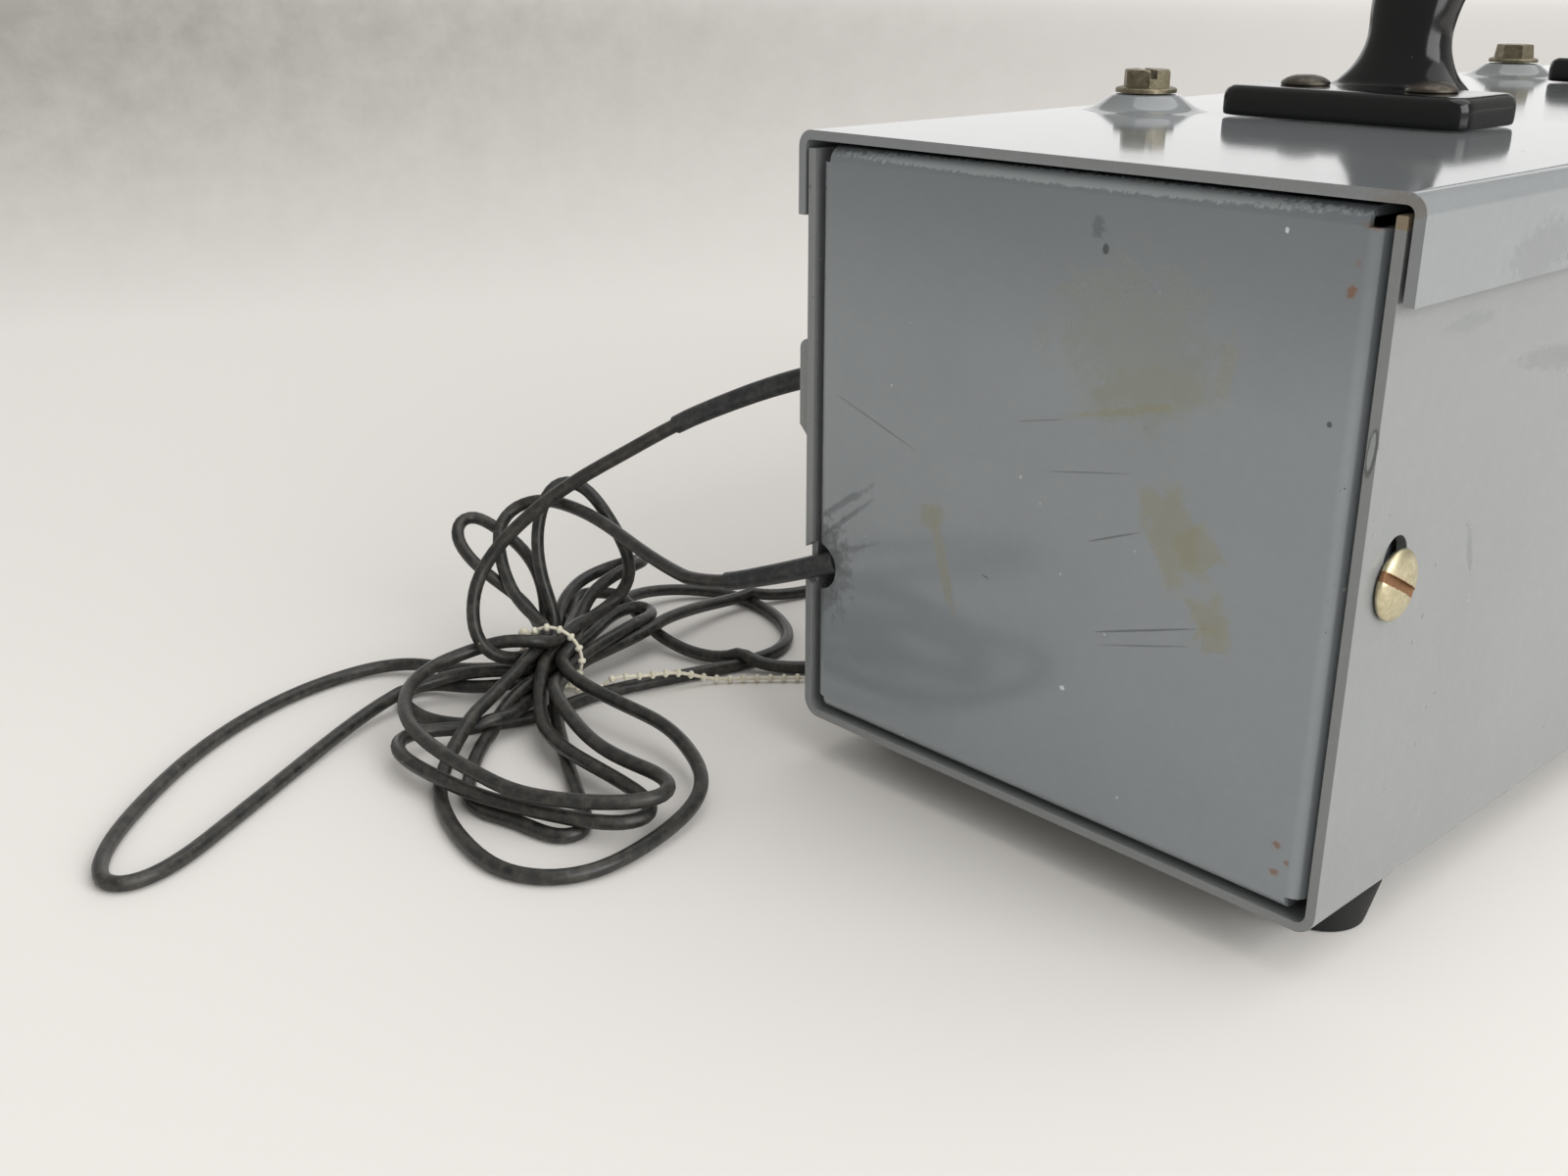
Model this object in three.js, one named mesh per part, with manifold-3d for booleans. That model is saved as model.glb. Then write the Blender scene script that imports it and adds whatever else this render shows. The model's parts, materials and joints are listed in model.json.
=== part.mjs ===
// Garage door opener power unit: a sheet-metal box with a carry handle, a motor and gear train
// hung from its lid, and two thin leads tied in a bundle beside it.
// Frame: millimetres, +X to the right across the front end panel, +Y along the box towards the
// drive end, +Z up. Origin on the surface the feet stand on, under the middle of the unit.
import * as THREE from 'three';
import { mergeVertices } from 'three/addons/utils/BufferGeometryUtils.js';
import Module from 'manifold-3d';

const wasm = await Module();
wasm.setup();

// ---------------------------------------------------------------- driving dimensions
const CLEARANCE = 0.3;                 // between pieces that touch
const CUT = 1;                         // how far a cutter runs past the face it cuts

const CASE_WIDTH = 127;                // outside the side walls
const CASE_LENGTH = 363;
const CASE_WALL_HEIGHT = 123.2;        // side wall, from the underside of the case
const SHEET = 1.9;
const CASE_BEND_RADIUS = 4;
const FOOT_HEIGHT = 10;
const FOOT_TOP_RADIUS = 10.8;
const FOOT_BASE_RADIUS = 8.9;
const FOOT_SIDE_INSET = 12.7;
const FOOT_END_INSET = 25.4;

const LID_RISE = CASE_WALL_HEIGHT + 3.5; // lid top above the underside of the case
const LID_SIDE_GAP = 0.9;
const LID_FLANGE = 16.8;
const LID_BEND_RADIUS = 3.4;
const BOSS_BASE_RADIUS = 13.4;
const BOSS_TOP_RADIUS = 7.4;
const BOSS_HEIGHT = 3.5;
const BOSS_SIDE_INSET = 15.9;          // from the outside of a side wall to a boss
const BOSS_END_OFFSET = 91.6;

const BOLT_SHANK_RADIUS = 3;
const BOLT_FLANGE_RADIUS = 6.8;
const BOLT_FLANGE_THICKNESS = 1.2;
const BOLT_HEX_RADIUS = 5.5;           // to the corners
const BOLT_HEX_HEIGHT = 3.7;
const BOLT_SLOT_WIDTH = 1.7;
const BOLT_SLOT_DEPTH = 1.8;

const PANEL_SIDE_GAP = 1.2;
const PANEL_EDGE_GAP = 0.9;            // to the lid above and the case floor below
const PANEL_SHEET = 1.6;
const PANEL_FLANGE_DEPTH = 17;
const PANEL_BEND_RADIUS = 1.8;
const PANEL_RELIEF = 3;                // square left out of each corner

const SIDE_SCREW_HEIGHT = 62.9;        // right-hand ones, above the underside of the case
const SIDE_SCREW_LEFT_DROP = 13;       // the left-hand ones sit lower, clear of the lead outlet
const SIDE_SCREW_INSET = 10.9;         // behind the end of the case
const SIDE_SCREW_HEAD_RADIUS = 6.2;
const SIDE_SCREW_HEAD_HEIGHT = 2.5;
const SIDE_SCREW_SHANK_RADIUS = 3;
const SIDE_SLOT_WIDTH = 7.4;
const SIDE_SLOT_RISE = 4.6;            // straight part of the slot above the screw

const CORD_DIAMETER = 3.2;
const SLEEVE_DIAMETER = 4.4;
const NOTCH_RADIUS = 5.2;
const NOTCH_FROM_WALL = 4;             // notch centre, inside the outer wall face
const NOTCH_HEIGHT = 36;               // above the underside of the case
const OUTLET_WIDTH = 22;               // plate on the left wall that the upper lead leaves
const OUTLET_HEIGHT = 20.6;
const OUTLET_THICKNESS = 2.5;
const OUTLET_CORNER = 2.2;
const OUTLET_RISE = 74.2;              // its middle, above the underside of the case
const OUTLET_INSET = 0.6;

const HANDLE_EAR_WIDTH = 55.6;
const HANDLE_EAR_DEPTH = 25.4;
const HANDLE_EAR_THICKNESS = 6.3;
const HANDLE_EAR_CORNER = 4;
const HANDLE_REACH = 93.5;              // from the handle's middle to its outer edge
const HANDLE_HEIGHT = 44;
const HANDLE_POST_WIDTH = 17;
const HANDLE_POST_DEPTH = 14;
const HANDLE_POST_INSET = 1;           // post middle, inside the inner edge of its ear
const HANDLE_FLARE_RADIUS = 14;        // across the unit, where a post grows out of its ear
const HANDLE_FLARE_SHARE = 0.68;       // its radius along the unit, as a share of that
const HANDLE_FLARE_RISE = 15;
const HANDLE_SCREW_SPACING = 28.6;
const HANDLE_SCREW_RADIUS = 5.2;
const HANDLE_SCREW_HEIGHT = 1.8;
const HANDLE_SCREW_SHANK_RADIUS = 2;

const INLET_X = -31;                   // mains socket in the rear panel
const INLET_RISE = 88;                 // its middle, above the underside of the case
const INLET_WIDTH = 28;
const INLET_HEIGHT = 20;
const INLET_DEPTH = 20;
const INLET_WELL = 14;
const INLET_WALL = 3;
const INLET_FLANGE = 2.3;
const INLET_PIN = 2;
const INLET_PIN_SPACING = 10;

const DECK_THICKNESS = 3;              // plate under the lid that carries the works
const DECK_DROP = 9;                   // its top, below the lid
const DECK_WIDTH = CASE_WIDTH - 19;
const DECK_FRONT = -(CASE_LENGTH / 2 - 31.5);
const DECK_BACK = CASE_LENGTH / 2 - 31.5;
const STANDOFF_RADIUS = 6;

const MOTOR_CENTRE = -20;
const STATOR_RADIUS = 40;
const STATOR_LENGTH = 44;
const ROTOR_RADIUS = 22;
const AIR_GAP = 0.6;
const WINDING_LENGTH = 13;
const WINDING_INSET = 5;               // outside of the windings, inside the stator's
const END_BELL_WALL = 3;
const MOTOR_SHAFT_RADIUS = 4;
const RUNNING_CLEARANCE = 0.08;
const BEARING_LENGTH = 9;
const BEARING_WALL = 4;

const GEAR_MODULE_FIRST = 1.25;
const GEAR_MODULE_SECOND = 1.5;
const MOTOR_PINION_TEETH = 12;
const FIRST_GEAR_TEETH = 48;
const SECOND_PINION_TEETH = 14;
const OUTPUT_GEAR_TEETH = 40;
const GEAR_FACE = 8;
const GEAR_SPACE = 5;                  // between one gear plane and the next
const FIRST_MESH_ANGLE = -138;         // degrees, direction from the motor axis to the layshaft
const SECOND_MESH_ANGLE = -8;          // degrees, from the layshaft to the output shaft
const GEAR_PLATE_THICKNESS = 3;
const GEAR_PLATE_FRONT = 42;           // front face of the front gear plate, from the case middle
const LAYSHAFT_RADIUS = 4;
const OUTPUT_SHAFT_RADIUS = 6;
const OUTPUT_REACH = 16;               // how far the output shaft stands out of the rear panel
const SPROCKET_TEETH = 9;
const SPROCKET_PITCH = 12.7;
const SPROCKET_FACE = 5;

const CAM_RADIUS = 18;
const CAM_THICKNESS = 6;
const CAM_POSITION = 116;
const SWITCH_SIZE = [10, 20, 16];
const LEVER_LENGTH = 24;
const LEVER_THICKNESS = 1.4;
const LEVER_TIP_DROP = 4;              // lever tip below the cam axis
const LEVER_PIVOT_RADIUS = 1.6;

// ---------------------------------------------------------------- worked-out places
const CASE_Y = -OUTPUT_REACH / 2;      // middle of the case, so the unit is centred with its shaft
const FRONT = CASE_Y - CASE_LENGTH / 2;
const BACK = CASE_Y + CASE_LENGTH / 2;
const BASE = FOOT_HEIGHT;
const WALL = CASE_WIDTH / 2;
const INNER_WALL = WALL - SHEET;
const FLOOR = BASE + SHEET;
const LID_TOP = BASE + LID_RISE;
const LID_UNDER = LID_TOP - SHEET;
const LID_HALF_WIDTH = WALL + LID_SIDE_GAP + SHEET;
const DECK_TOP = LID_UNDER - DECK_DROP;
const DECK_UNDER = DECK_TOP - DECK_THICKNESS;
const sideScrewZ = (side) => BASE + SIDE_SCREW_HEIGHT - (side < 0 ? SIDE_SCREW_LEFT_DROP : 0);
const NOTCH_X = -(WALL - NOTCH_FROM_WALL);
const NOTCH_Z = BASE + NOTCH_HEIGHT;
const OUTLET_Z = BASE + OUTLET_RISE;
const OUTLET_Y = FRONT + OUTLET_INSET + OUTLET_WIDTH / 2;
const BOSS_X = WALL - BOSS_SIDE_INSET;
const BOSSES = [[-BOSS_X, -BOSS_END_OFFSET], [-BOSS_X, BOSS_END_OFFSET], [BOSS_X, 0]];
const HANDLE_SCREW_Y = HANDLE_REACH - HANDLE_EAR_DEPTH / 2;
const INLET_Z = BASE + INLET_RISE;
const STATOR_OUTER = STATOR_RADIUS;
const WINDING_RADIUS = STATOR_RADIUS - WINDING_INSET;
const MOTOR_Z = DECK_UNDER - CLEARANCE - STATOR_OUTER - END_BELL_WALL;

const radians = (degrees) => (degrees * Math.PI) / 180;
const pitchRadius = (teeth, module) => (teeth * module) / 2;
const firstCentres = pitchRadius(MOTOR_PINION_TEETH + FIRST_GEAR_TEETH, GEAR_MODULE_FIRST);
const secondCentres = pitchRadius(SECOND_PINION_TEETH + OUTPUT_GEAR_TEETH, GEAR_MODULE_SECOND);
const LAYSHAFT = [
  firstCentres * Math.cos(radians(FIRST_MESH_ANGLE)),
  MOTOR_Z + firstCentres * Math.sin(radians(FIRST_MESH_ANGLE)),
];
const OUTPUT = [
  LAYSHAFT[0] + secondCentres * Math.cos(radians(SECOND_MESH_ANGLE)),
  LAYSHAFT[1] + secondCentres * Math.sin(radians(SECOND_MESH_ANGLE)),
];
const plateFrontY = CASE_Y + GEAR_PLATE_FRONT;
const firstGearY = plateFrontY + GEAR_PLATE_THICKNESS + GEAR_SPACE;
const secondGearY = firstGearY + GEAR_FACE + GEAR_SPACE;
const plateRearY = secondGearY + GEAR_FACE + GEAR_SPACE;

// ---------------------------------------------------------------- solids
function solidOf(geometry) {
  const bare = geometry.clone();
  bare.deleteAttribute('normal');
  bare.deleteAttribute('uv');
  const merged = mergeVertices(bare, 1e-4);
  return new wasm.Manifold(new wasm.Mesh({
    numProp: 3,
    vertProperties: new Float32Array(merged.attributes.position.array),
    triVerts: new Uint32Array(merged.index.array),
  }));
}

function geometryOf(solid) {
  const mesh = solid.getMesh();
  const geometry = new THREE.BufferGeometry();
  geometry.setAttribute('position', new THREE.BufferAttribute(new Float32Array(mesh.vertProperties), 3));
  geometry.setIndex(new THREE.BufferAttribute(new Uint32Array(mesh.triVerts), 1));
  geometry.computeVertexNormals();
  return geometry;
}

const join = (first, ...rest) => geometryOf(rest.reduce((sum, g) => sum.add(solidOf(g)), solidOf(first)));
const cut = (first, ...rest) => geometryOf(rest.reduce((sum, g) => sum.subtract(solidOf(g)), solidOf(first)));

function block(x0, x1, y0, y1, z0, z1) {
  const box = new THREE.BoxGeometry(x1 - x0, y1 - y0, z1 - z0);
  return box.translate((x0 + x1) / 2, (y0 + y1) / 2, (z0 + z1) / 2);
}

// An outline in X and Z, run along Y from y0 to y1.
function alongY(shape, y0, y1, bevel = {}) {
  const extrusion = new THREE.ExtrudeGeometry(shape, { depth: y1 - y0, bevelEnabled: false, ...bevel });
  return extrusion.rotateX(Math.PI / 2).translate(0, y1, 0);
}

// An outline in X and Y, run upwards from z0 to z1.
function upwards(shape, z0, z1, bevel = {}) {
  return new THREE.ExtrudeGeometry(shape, { depth: z1 - z0, bevelEnabled: false, ...bevel }).translate(0,
    0, z0);
}

function shapeOf(points) {
  return new THREE.Shape(points.map(([x, y]) => new THREE.Vector2(x, y)));
}

function roundedRectangle(x0, x1, y0, y1, radius) {
  const shape = new THREE.Shape();
  shape.moveTo(x0 + radius, y0);
  shape.lineTo(x1 - radius, y0);
  shape.absarc(x1 - radius, y0 + radius, radius, -Math.PI / 2, 0);
  shape.lineTo(x1, y1 - radius);
  shape.absarc(x1 - radius, y1 - radius, radius, 0, Math.PI / 2);
  shape.lineTo(x0 + radius, y1);
  shape.absarc(x0 + radius, y1 - radius, radius, Math.PI / 2, Math.PI);
  shape.lineTo(x0, y0 + radius);
  shape.absarc(x0 + radius, y0 + radius, radius, Math.PI, 1.5 * Math.PI);
  return shape;
}

// A round piece about a line parallel to an axis; the profile gives [radius, distance along it].
function turned(profile, axis, centre, sides = 24) {
  const lathe = new THREE.LatheGeometry(profile.map(([r, d]) => new THREE.Vector2(r, d)), sides);
  if (axis === 'x') {
    lathe.rotateZ(-Math.PI / 2);
  }
  if (axis === 'z') {
    lathe.rotateX(Math.PI / 2);
  }
  return lathe.translate(...centre);
}

function rod(axis, radius, from, to, centre, sides = 16) {
  return turned([[0, from], [radius, from], [radius, to], [0, to]], axis, centre, sides);
}

function ring(axis, outer, inner, from, to, centre, sides = 24) {
  return turned([[inner, from], [outer, from], [outer, to], [inner, to], [inner, from]], axis, centre, sides);
}

function hexagon(radius, turn = 0) {
  const corners = Array.from({ length: 6 }, (_, i) => radians(60 * i + turn));
  return shapeOf(corners.map((a) => [radius * Math.cos(a), radius * Math.sin(a)]));
}

// Straight-flanked teeth, thinner than half the pitch, the first tooth centred at the start angle.
function gearShape(teeth, module, start, bore) {
  const pitch = pitchRadius(teeth, module);
  const root = pitch - 1.15 * module;
  const tip = pitch + 0.8 * module;
  const step = (2 * Math.PI) / teeth;
  const corners = [[root, -0.29], [tip, -0.1], [tip, 0.1], [root, 0.29]];
  const points = [];
  for (let tooth = 0; tooth < teeth; tooth += 1) {
    for (const [radius, share] of corners) {
      const angle = start + (tooth + share) * step;
      points.push([radius * Math.cos(angle), radius * Math.sin(angle)]);
    }
  }
  const shape = shapeOf(points);
  if (bore > 0) {
    shape.holes.push(new THREE.Path().absarc(0, 0, bore, 0, 2 * Math.PI, true));
  }
  return shape;
}

// A tube of the given points, at rest on a smooth curve.
function tube(points, diameter, step, sides = 8) {
  const curve = new THREE.CatmullRomCurve3(points.map((p) => new THREE.Vector3(...p)), false, 'centripetal');
  const section = shapeOf(Array.from({ length: sides }, (_, i) => {
    const angle = (2 * Math.PI * i) / sides;
    return [(diameter / 2) * Math.cos(angle), (diameter / 2) * Math.sin(angle)];
  }));
  const steps = Math.max(2, Math.round(curve.getLength() / step));
  return new THREE.ExtrudeGeometry(section, { steps, extrudePath: curve, bevelEnabled: false });
}

const unit = new THREE.Group();

function material(color, roughness, metalness) {
  return () => new THREE.MeshStandardMaterial({ color, roughness, metalness });
}

const enamel = material(0x8a979b, 0.35, 0.1);
const blackPlastic = material(0x17181a, 0.25, 0);
const rubber = material(0x1d1d1e, 0.8, 0);
const zincPlate = material(0x9a906a, 0.4, 0.8);
const brass = material(0xc9bd86, 0.35, 0.9);
const steel = material(0x8e9093, 0.4, 0.8);
const castMetal = material(0xa4a6a8, 0.55, 0.6);
const copper = material(0xa8653a, 0.5, 0.6);
const phenolic = material(0x4a2f1e, 0.5, 0);
const nylon = material(0xd8d3bf, 0.6, 0);
const cordJacket = material(0x33343a, 0.75, 0);

function add(name, geometry, finish) {
  const mesh = new THREE.Mesh(geometry, finish());
  mesh.name = name;
  unit.add(mesh);
}

// ---------------------------------------------------------------- case
// Half-open channel: floor and two walls, or top and two flanges when the rise is negative.
function channelShape(halfWidth, level, rise, sheet, bend) {
  const up = Math.sign(rise);
  const inner = bend - sheet;
  const end = level + rise;
  const shape = new THREE.Shape();
  const quarter = (x, radius, from, to, clockwise) => {
    shape.absarc(x, level + up * bend, radius, up * from, up * to, up > 0 ? clockwise : !clockwise);
  };
  shape.moveTo(-halfWidth, end);
  shape.lineTo(-halfWidth, level + up * bend);
  quarter(-halfWidth + bend, bend, -Math.PI, -Math.PI / 2, false);
  shape.lineTo(halfWidth - bend, level);
  quarter(halfWidth - bend, bend, -Math.PI / 2, 0, false);
  shape.lineTo(halfWidth, end);
  shape.lineTo(halfWidth - sheet, end);
  shape.lineTo(halfWidth - sheet, level + up * bend);
  quarter(halfWidth - bend, inner, 0, -Math.PI / 2, true);
  shape.lineTo(-halfWidth + bend, level + up * sheet);
  quarter(-halfWidth + bend, inner, -Math.PI / 2, -Math.PI, true);
  shape.lineTo(-halfWidth + sheet, end);
  return shape;
}

function sideSlots() {
  const slots = [];
  const half = SIDE_SLOT_WIDTH / 2;
  for (const end of [-1, 1]) {
    for (const side of [-1, 1]) {
      const y = CASE_Y + end * (CASE_LENGTH / 2 - SIDE_SCREW_INSET);
      const z = sideScrewZ(side);
      const outline = roundedRectangle(y - half, y + half, z - half, z + SIDE_SLOT_RISE + half, half - 0.01);
      const slot = new THREE.ExtrudeGeometry(outline, { depth: 4 * SHEET, bevelEnabled: false,
        curveSegments: 4 });
      slots.push(slot.rotateX(Math.PI / 2).rotateZ(Math.PI / 2).translate(side * WALL - 2 * SHEET, 0, 0));
    }
  }
  return slots;
}

const notchCutter = (from, to) => rod('y', NOTCH_RADIUS, from, to, [NOTCH_X, 0, NOTCH_Z], 20);

function buildCase() {
  const channel = channelShape(WALL, BASE, CASE_WALL_HEIGHT, SHEET, CASE_BEND_RADIUS);
  const body = alongY(channel, FRONT, BACK, { curveSegments: 3 });
  const notch = notchCutter(FRONT - CUT, FRONT + NOTCH_RADIUS);
  const outletHole = rod('x', SLEEVE_DIAMETER / 2 + CLEARANCE, -WALL - CUT, -INNER_WALL + CUT,
    [0, OUTLET_Y, OUTLET_Z], 12);
  add('case_wrap', cut(body, ...sideSlots(), notch, outletHole), enamel);
}

function buildLid() {
  const channel = channelShape(LID_HALF_WIDTH, LID_TOP, -LID_FLANGE, SHEET, LID_BEND_RADIUS);
  let lid = alongY(channel, FRONT, BACK, { curveSegments: 3 });
  for (const [x, y] of BOSSES) {
    const sunk = SHEET / 2;
    const cone = turned([[0, -sunk], [BOSS_BASE_RADIUS, -sunk], [BOSS_BASE_RADIUS, 0], [BOSS_TOP_RADIUS,
      BOSS_HEIGHT],
      [0, BOSS_HEIGHT]], 'z', [x, CASE_Y + y, LID_TOP], 24);
    lid = join(lid, cone);
  }
  const holes = BOSSES.map(([x, y]) => rod('z', BOLT_SHANK_RADIUS + CLEARANCE, -DECK_DROP, BOSS_HEIGHT + CUT,
    [x, CASE_Y + y, LID_TOP], 12));
  for (const end of [-1, 1]) {
    for (const side of [-1, 1]) {
      holes.push(rod('z', HANDLE_SCREW_SHANK_RADIUS + CLEARANCE, -SHEET - CUT, CUT,
        [side * HANDLE_SCREW_SPACING / 2, CASE_Y + end * HANDLE_SCREW_Y, LID_TOP], 10));
    }
  }
  add('lid', cut(lid, ...holes), enamel);
}

// A tray with its four edges turned inwards; facing is -1 for the front end and 1 for the rear.
function panelTray(facing) {
  const halfWidth = INNER_WALL - PANEL_SIDE_GAP;
  const low = FLOOR + PANEL_EDGE_GAP;
  const high = LID_UNDER - PANEL_EDGE_GAP;
  const bend = PANEL_BEND_RADIUS;
  const outline = shapeOf([[-halfWidth + bend, low + bend], [halfWidth - bend, low + bend],
    [halfWidth - bend, high - bend], [-halfWidth + bend, high - bend]]);
  const face = facing < 0 ? FRONT : BACK;
  const bevel = { bevelEnabled: true, bevelThickness: bend, bevelSize: bend, bevelSegments: 2,
    curveSegments: 1 };
  const depth = PANEL_FLANGE_DEPTH + bend;
  const [from, to] = facing < 0 ? [face, face + depth] : [face - depth, face];
  const slab = alongY(outline, from + bend, to - bend, bevel);
  const wall = PANEL_SHEET;
  const [openFrom, openTo] = facing < 0 ? [face + wall, to + CUT] : [from - CUT, face - wall];
  const cuts = [block(-halfWidth + wall, halfWidth - wall, openFrom, openTo, low + wall, high - wall)];
  const [trimFrom, trimTo] = facing < 0 ? [to - bend, to + CUT] : [from - CUT, from + bend];
  cuts.push(block(-WALL, WALL, trimFrom, trimTo, 0, LID_TOP));
  for (const side of [-1, 1]) {
    for (const [z0, z1] of [[low - CUT, low + PANEL_RELIEF], [high - PANEL_RELIEF, high + CUT]]) {
      const x0 = side > 0 ? halfWidth - PANEL_RELIEF : -halfWidth - CUT;
      cuts.push(block(x0, x0 + PANEL_RELIEF + CUT, from - CUT, to + CUT, z0, z1));
    }
  }
  const screwY = face - facing * SIDE_SCREW_INSET;
  cuts.push(rod('x', SIDE_SCREW_SHANK_RADIUS + CLEARANCE, -WALL, 0, [0, screwY, sideScrewZ(-1)], 12));
  cuts.push(rod('x', SIDE_SCREW_SHANK_RADIUS + CLEARANCE, 0, WALL, [0, screwY, sideScrewZ(1)], 12));
  return [slab, cuts];
}

function buildPanels() {
  const [front, frontCuts] = panelTray(-1);
  const leadHole = rod('x', SLEEVE_DIAMETER, -WALL, 0, [0, OUTLET_Y, OUTLET_Z], 12);
  const notch = notchCutter(FRONT - CUT, FRONT + PANEL_FLANGE_DEPTH + 3 * CUT);
  add('front_panel', cut(front, ...frontCuts, notch, leadHole), enamel);
  const [rear, rearCuts] = panelTray(1);
  const shaftHole = rod('y', OUTPUT_SHAFT_RADIUS + 3, BACK - 4 * PANEL_SHEET, BACK + CUT, [OUTPUT[0], 0,
    OUTPUT[1]], 20);
  const [left, right] = [INLET_X - INLET_WIDTH / 2, INLET_X + INLET_WIDTH / 2];
  const [low, high] = [INLET_Z - INLET_HEIGHT / 2, INLET_Z + INLET_HEIGHT / 2];
  const inletHole = block(left, right, BACK - 4 * PANEL_SHEET, BACK + CUT, low, high);
  add('rear_panel', cut(rear, ...rearCuts, shaftHole, inletHole), enamel);
  const inletBody = block(left + CLEARANCE, right - CLEARANCE, BACK - INLET_DEPTH, BACK - CLEARANCE,
    low + CLEARANCE, high - CLEARANCE);
  const wall = INLET_WALL;
  const socket = block(left + wall, right - wall, BACK - INLET_WELL, BACK + CUT, low + wall, high - wall);
  const inside = BACK - PANEL_SHEET - CLEARANCE;
  const flange = block(left - wall, right + wall, inside - INLET_FLANGE, inside, low - wall, high + wall);
  const pins = [-1, 1].map((side) => {
    const x = INLET_X + side * INLET_PIN_SPACING / 2;
    return block(x - INLET_PIN / 2, x + INLET_PIN / 2, BACK - INLET_WELL - 2 * CUT, BACK - wall,
      INLET_Z - wall, INLET_Z + wall);
  });
  add('mains_inlet', join(cut(join(inletBody, flange), socket), ...pins), blackPlastic);
}

function buildFeet() {
  const profile = [[0, 0], [FOOT_BASE_RADIUS, 0], [FOOT_TOP_RADIUS, FOOT_HEIGHT - CLEARANCE],
    [0, FOOT_HEIGHT - CLEARANCE]];
  for (const [end, endName] of [[-1, 'front'], [1, 'rear']]) {
    for (const [side, sideName] of [[-1, 'left'], [1, 'right']]) {
      const x = side * (WALL - FOOT_SIDE_INSET);
      const y = CASE_Y + end * (CASE_LENGTH / 2 - FOOT_END_INSET);
      add(`foot_${endName}_${sideName}`, turned(profile, 'z', [x, y, 0], 20), rubber);
    }
  }
}

function buildSideScrews() {
  const head = SIDE_SCREW_HEAD_HEIGHT;
  const shankEnd = -(SHEET + PANEL_SIDE_GAP + PANEL_SHEET + 2);
  const profile = [[0, shankEnd], [SIDE_SCREW_SHANK_RADIUS, shankEnd], [SIDE_SCREW_SHANK_RADIUS, CLEARANCE],
    [SIDE_SCREW_HEAD_RADIUS, CLEARANCE], [SIDE_SCREW_HEAD_RADIUS, 0.4 * head],
      [0.72 * SIDE_SCREW_HEAD_RADIUS, 0.85 * head],
    [0, head]];
  for (const [end, endName] of [[-1, 'front'], [1, 'rear']]) {
    for (const [side, sideName] of [[-1, 'left'], [1, 'right']]) {
      const y = CASE_Y + end * (CASE_LENGTH / 2 - SIDE_SCREW_INSET);
      const screw = turned(profile, 'x', [0, 0, 0], 20);
      const slot = block(0.5 * head, head + CUT, -0.8, 0.8, -SIDE_SCREW_HEAD_RADIUS - CUT,
        SIDE_SCREW_HEAD_RADIUS + CUT);
      const body = cut(screw, slot.rotateX(radians(-65)));
      if (side < 0) {
        body.rotateZ(Math.PI);
      }
      add(`side_screw_${endName}_${sideName}`, body.translate(side * WALL, y, sideScrewZ(side)), brass);
    }
  }
}

function buildLidBolts() {
  const seat = LID_TOP + BOSS_HEIGHT + CLEARANCE;
  const turns = [12, 20, 40];
  const names = ['front', 'rear', 'side'];
  BOSSES.forEach(([x, y], index) => {
    const at = [x, CASE_Y + y, seat];
    const shank = rod('z', BOLT_SHANK_RADIUS, DECK_UNDER - 6 - seat, CUT, at, 12);
    const flange = turned([[0, 0], [BOLT_FLANGE_RADIUS, 0], [BOLT_FLANGE_RADIUS, BOLT_FLANGE_THICKNESS * 0.7],
      [BOLT_HEX_RADIUS, BOLT_FLANGE_THICKNESS + 0.3], [0, BOLT_FLANGE_THICKNESS + 0.3]], 'z', at, 20);
    const top = BOLT_FLANGE_THICKNESS + BOLT_HEX_HEIGHT;
    const hex = upwards(hexagon(BOLT_HEX_RADIUS, turns[index]), 1, top).translate(...at);
    const slot = block(-BOLT_HEX_RADIUS - CUT, BOLT_HEX_RADIUS + CUT, -BOLT_SLOT_WIDTH / 2,
      BOLT_SLOT_WIDTH / 2,
      top - BOLT_SLOT_DEPTH, top + CUT);
    const body = cut(join(shank, flange, hex), slot.rotateZ(radians(turns[index] - 55)).translate(...at));
    add(`lid_bolt_${names[index]}`, body, zincPlate);
  });
}

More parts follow.
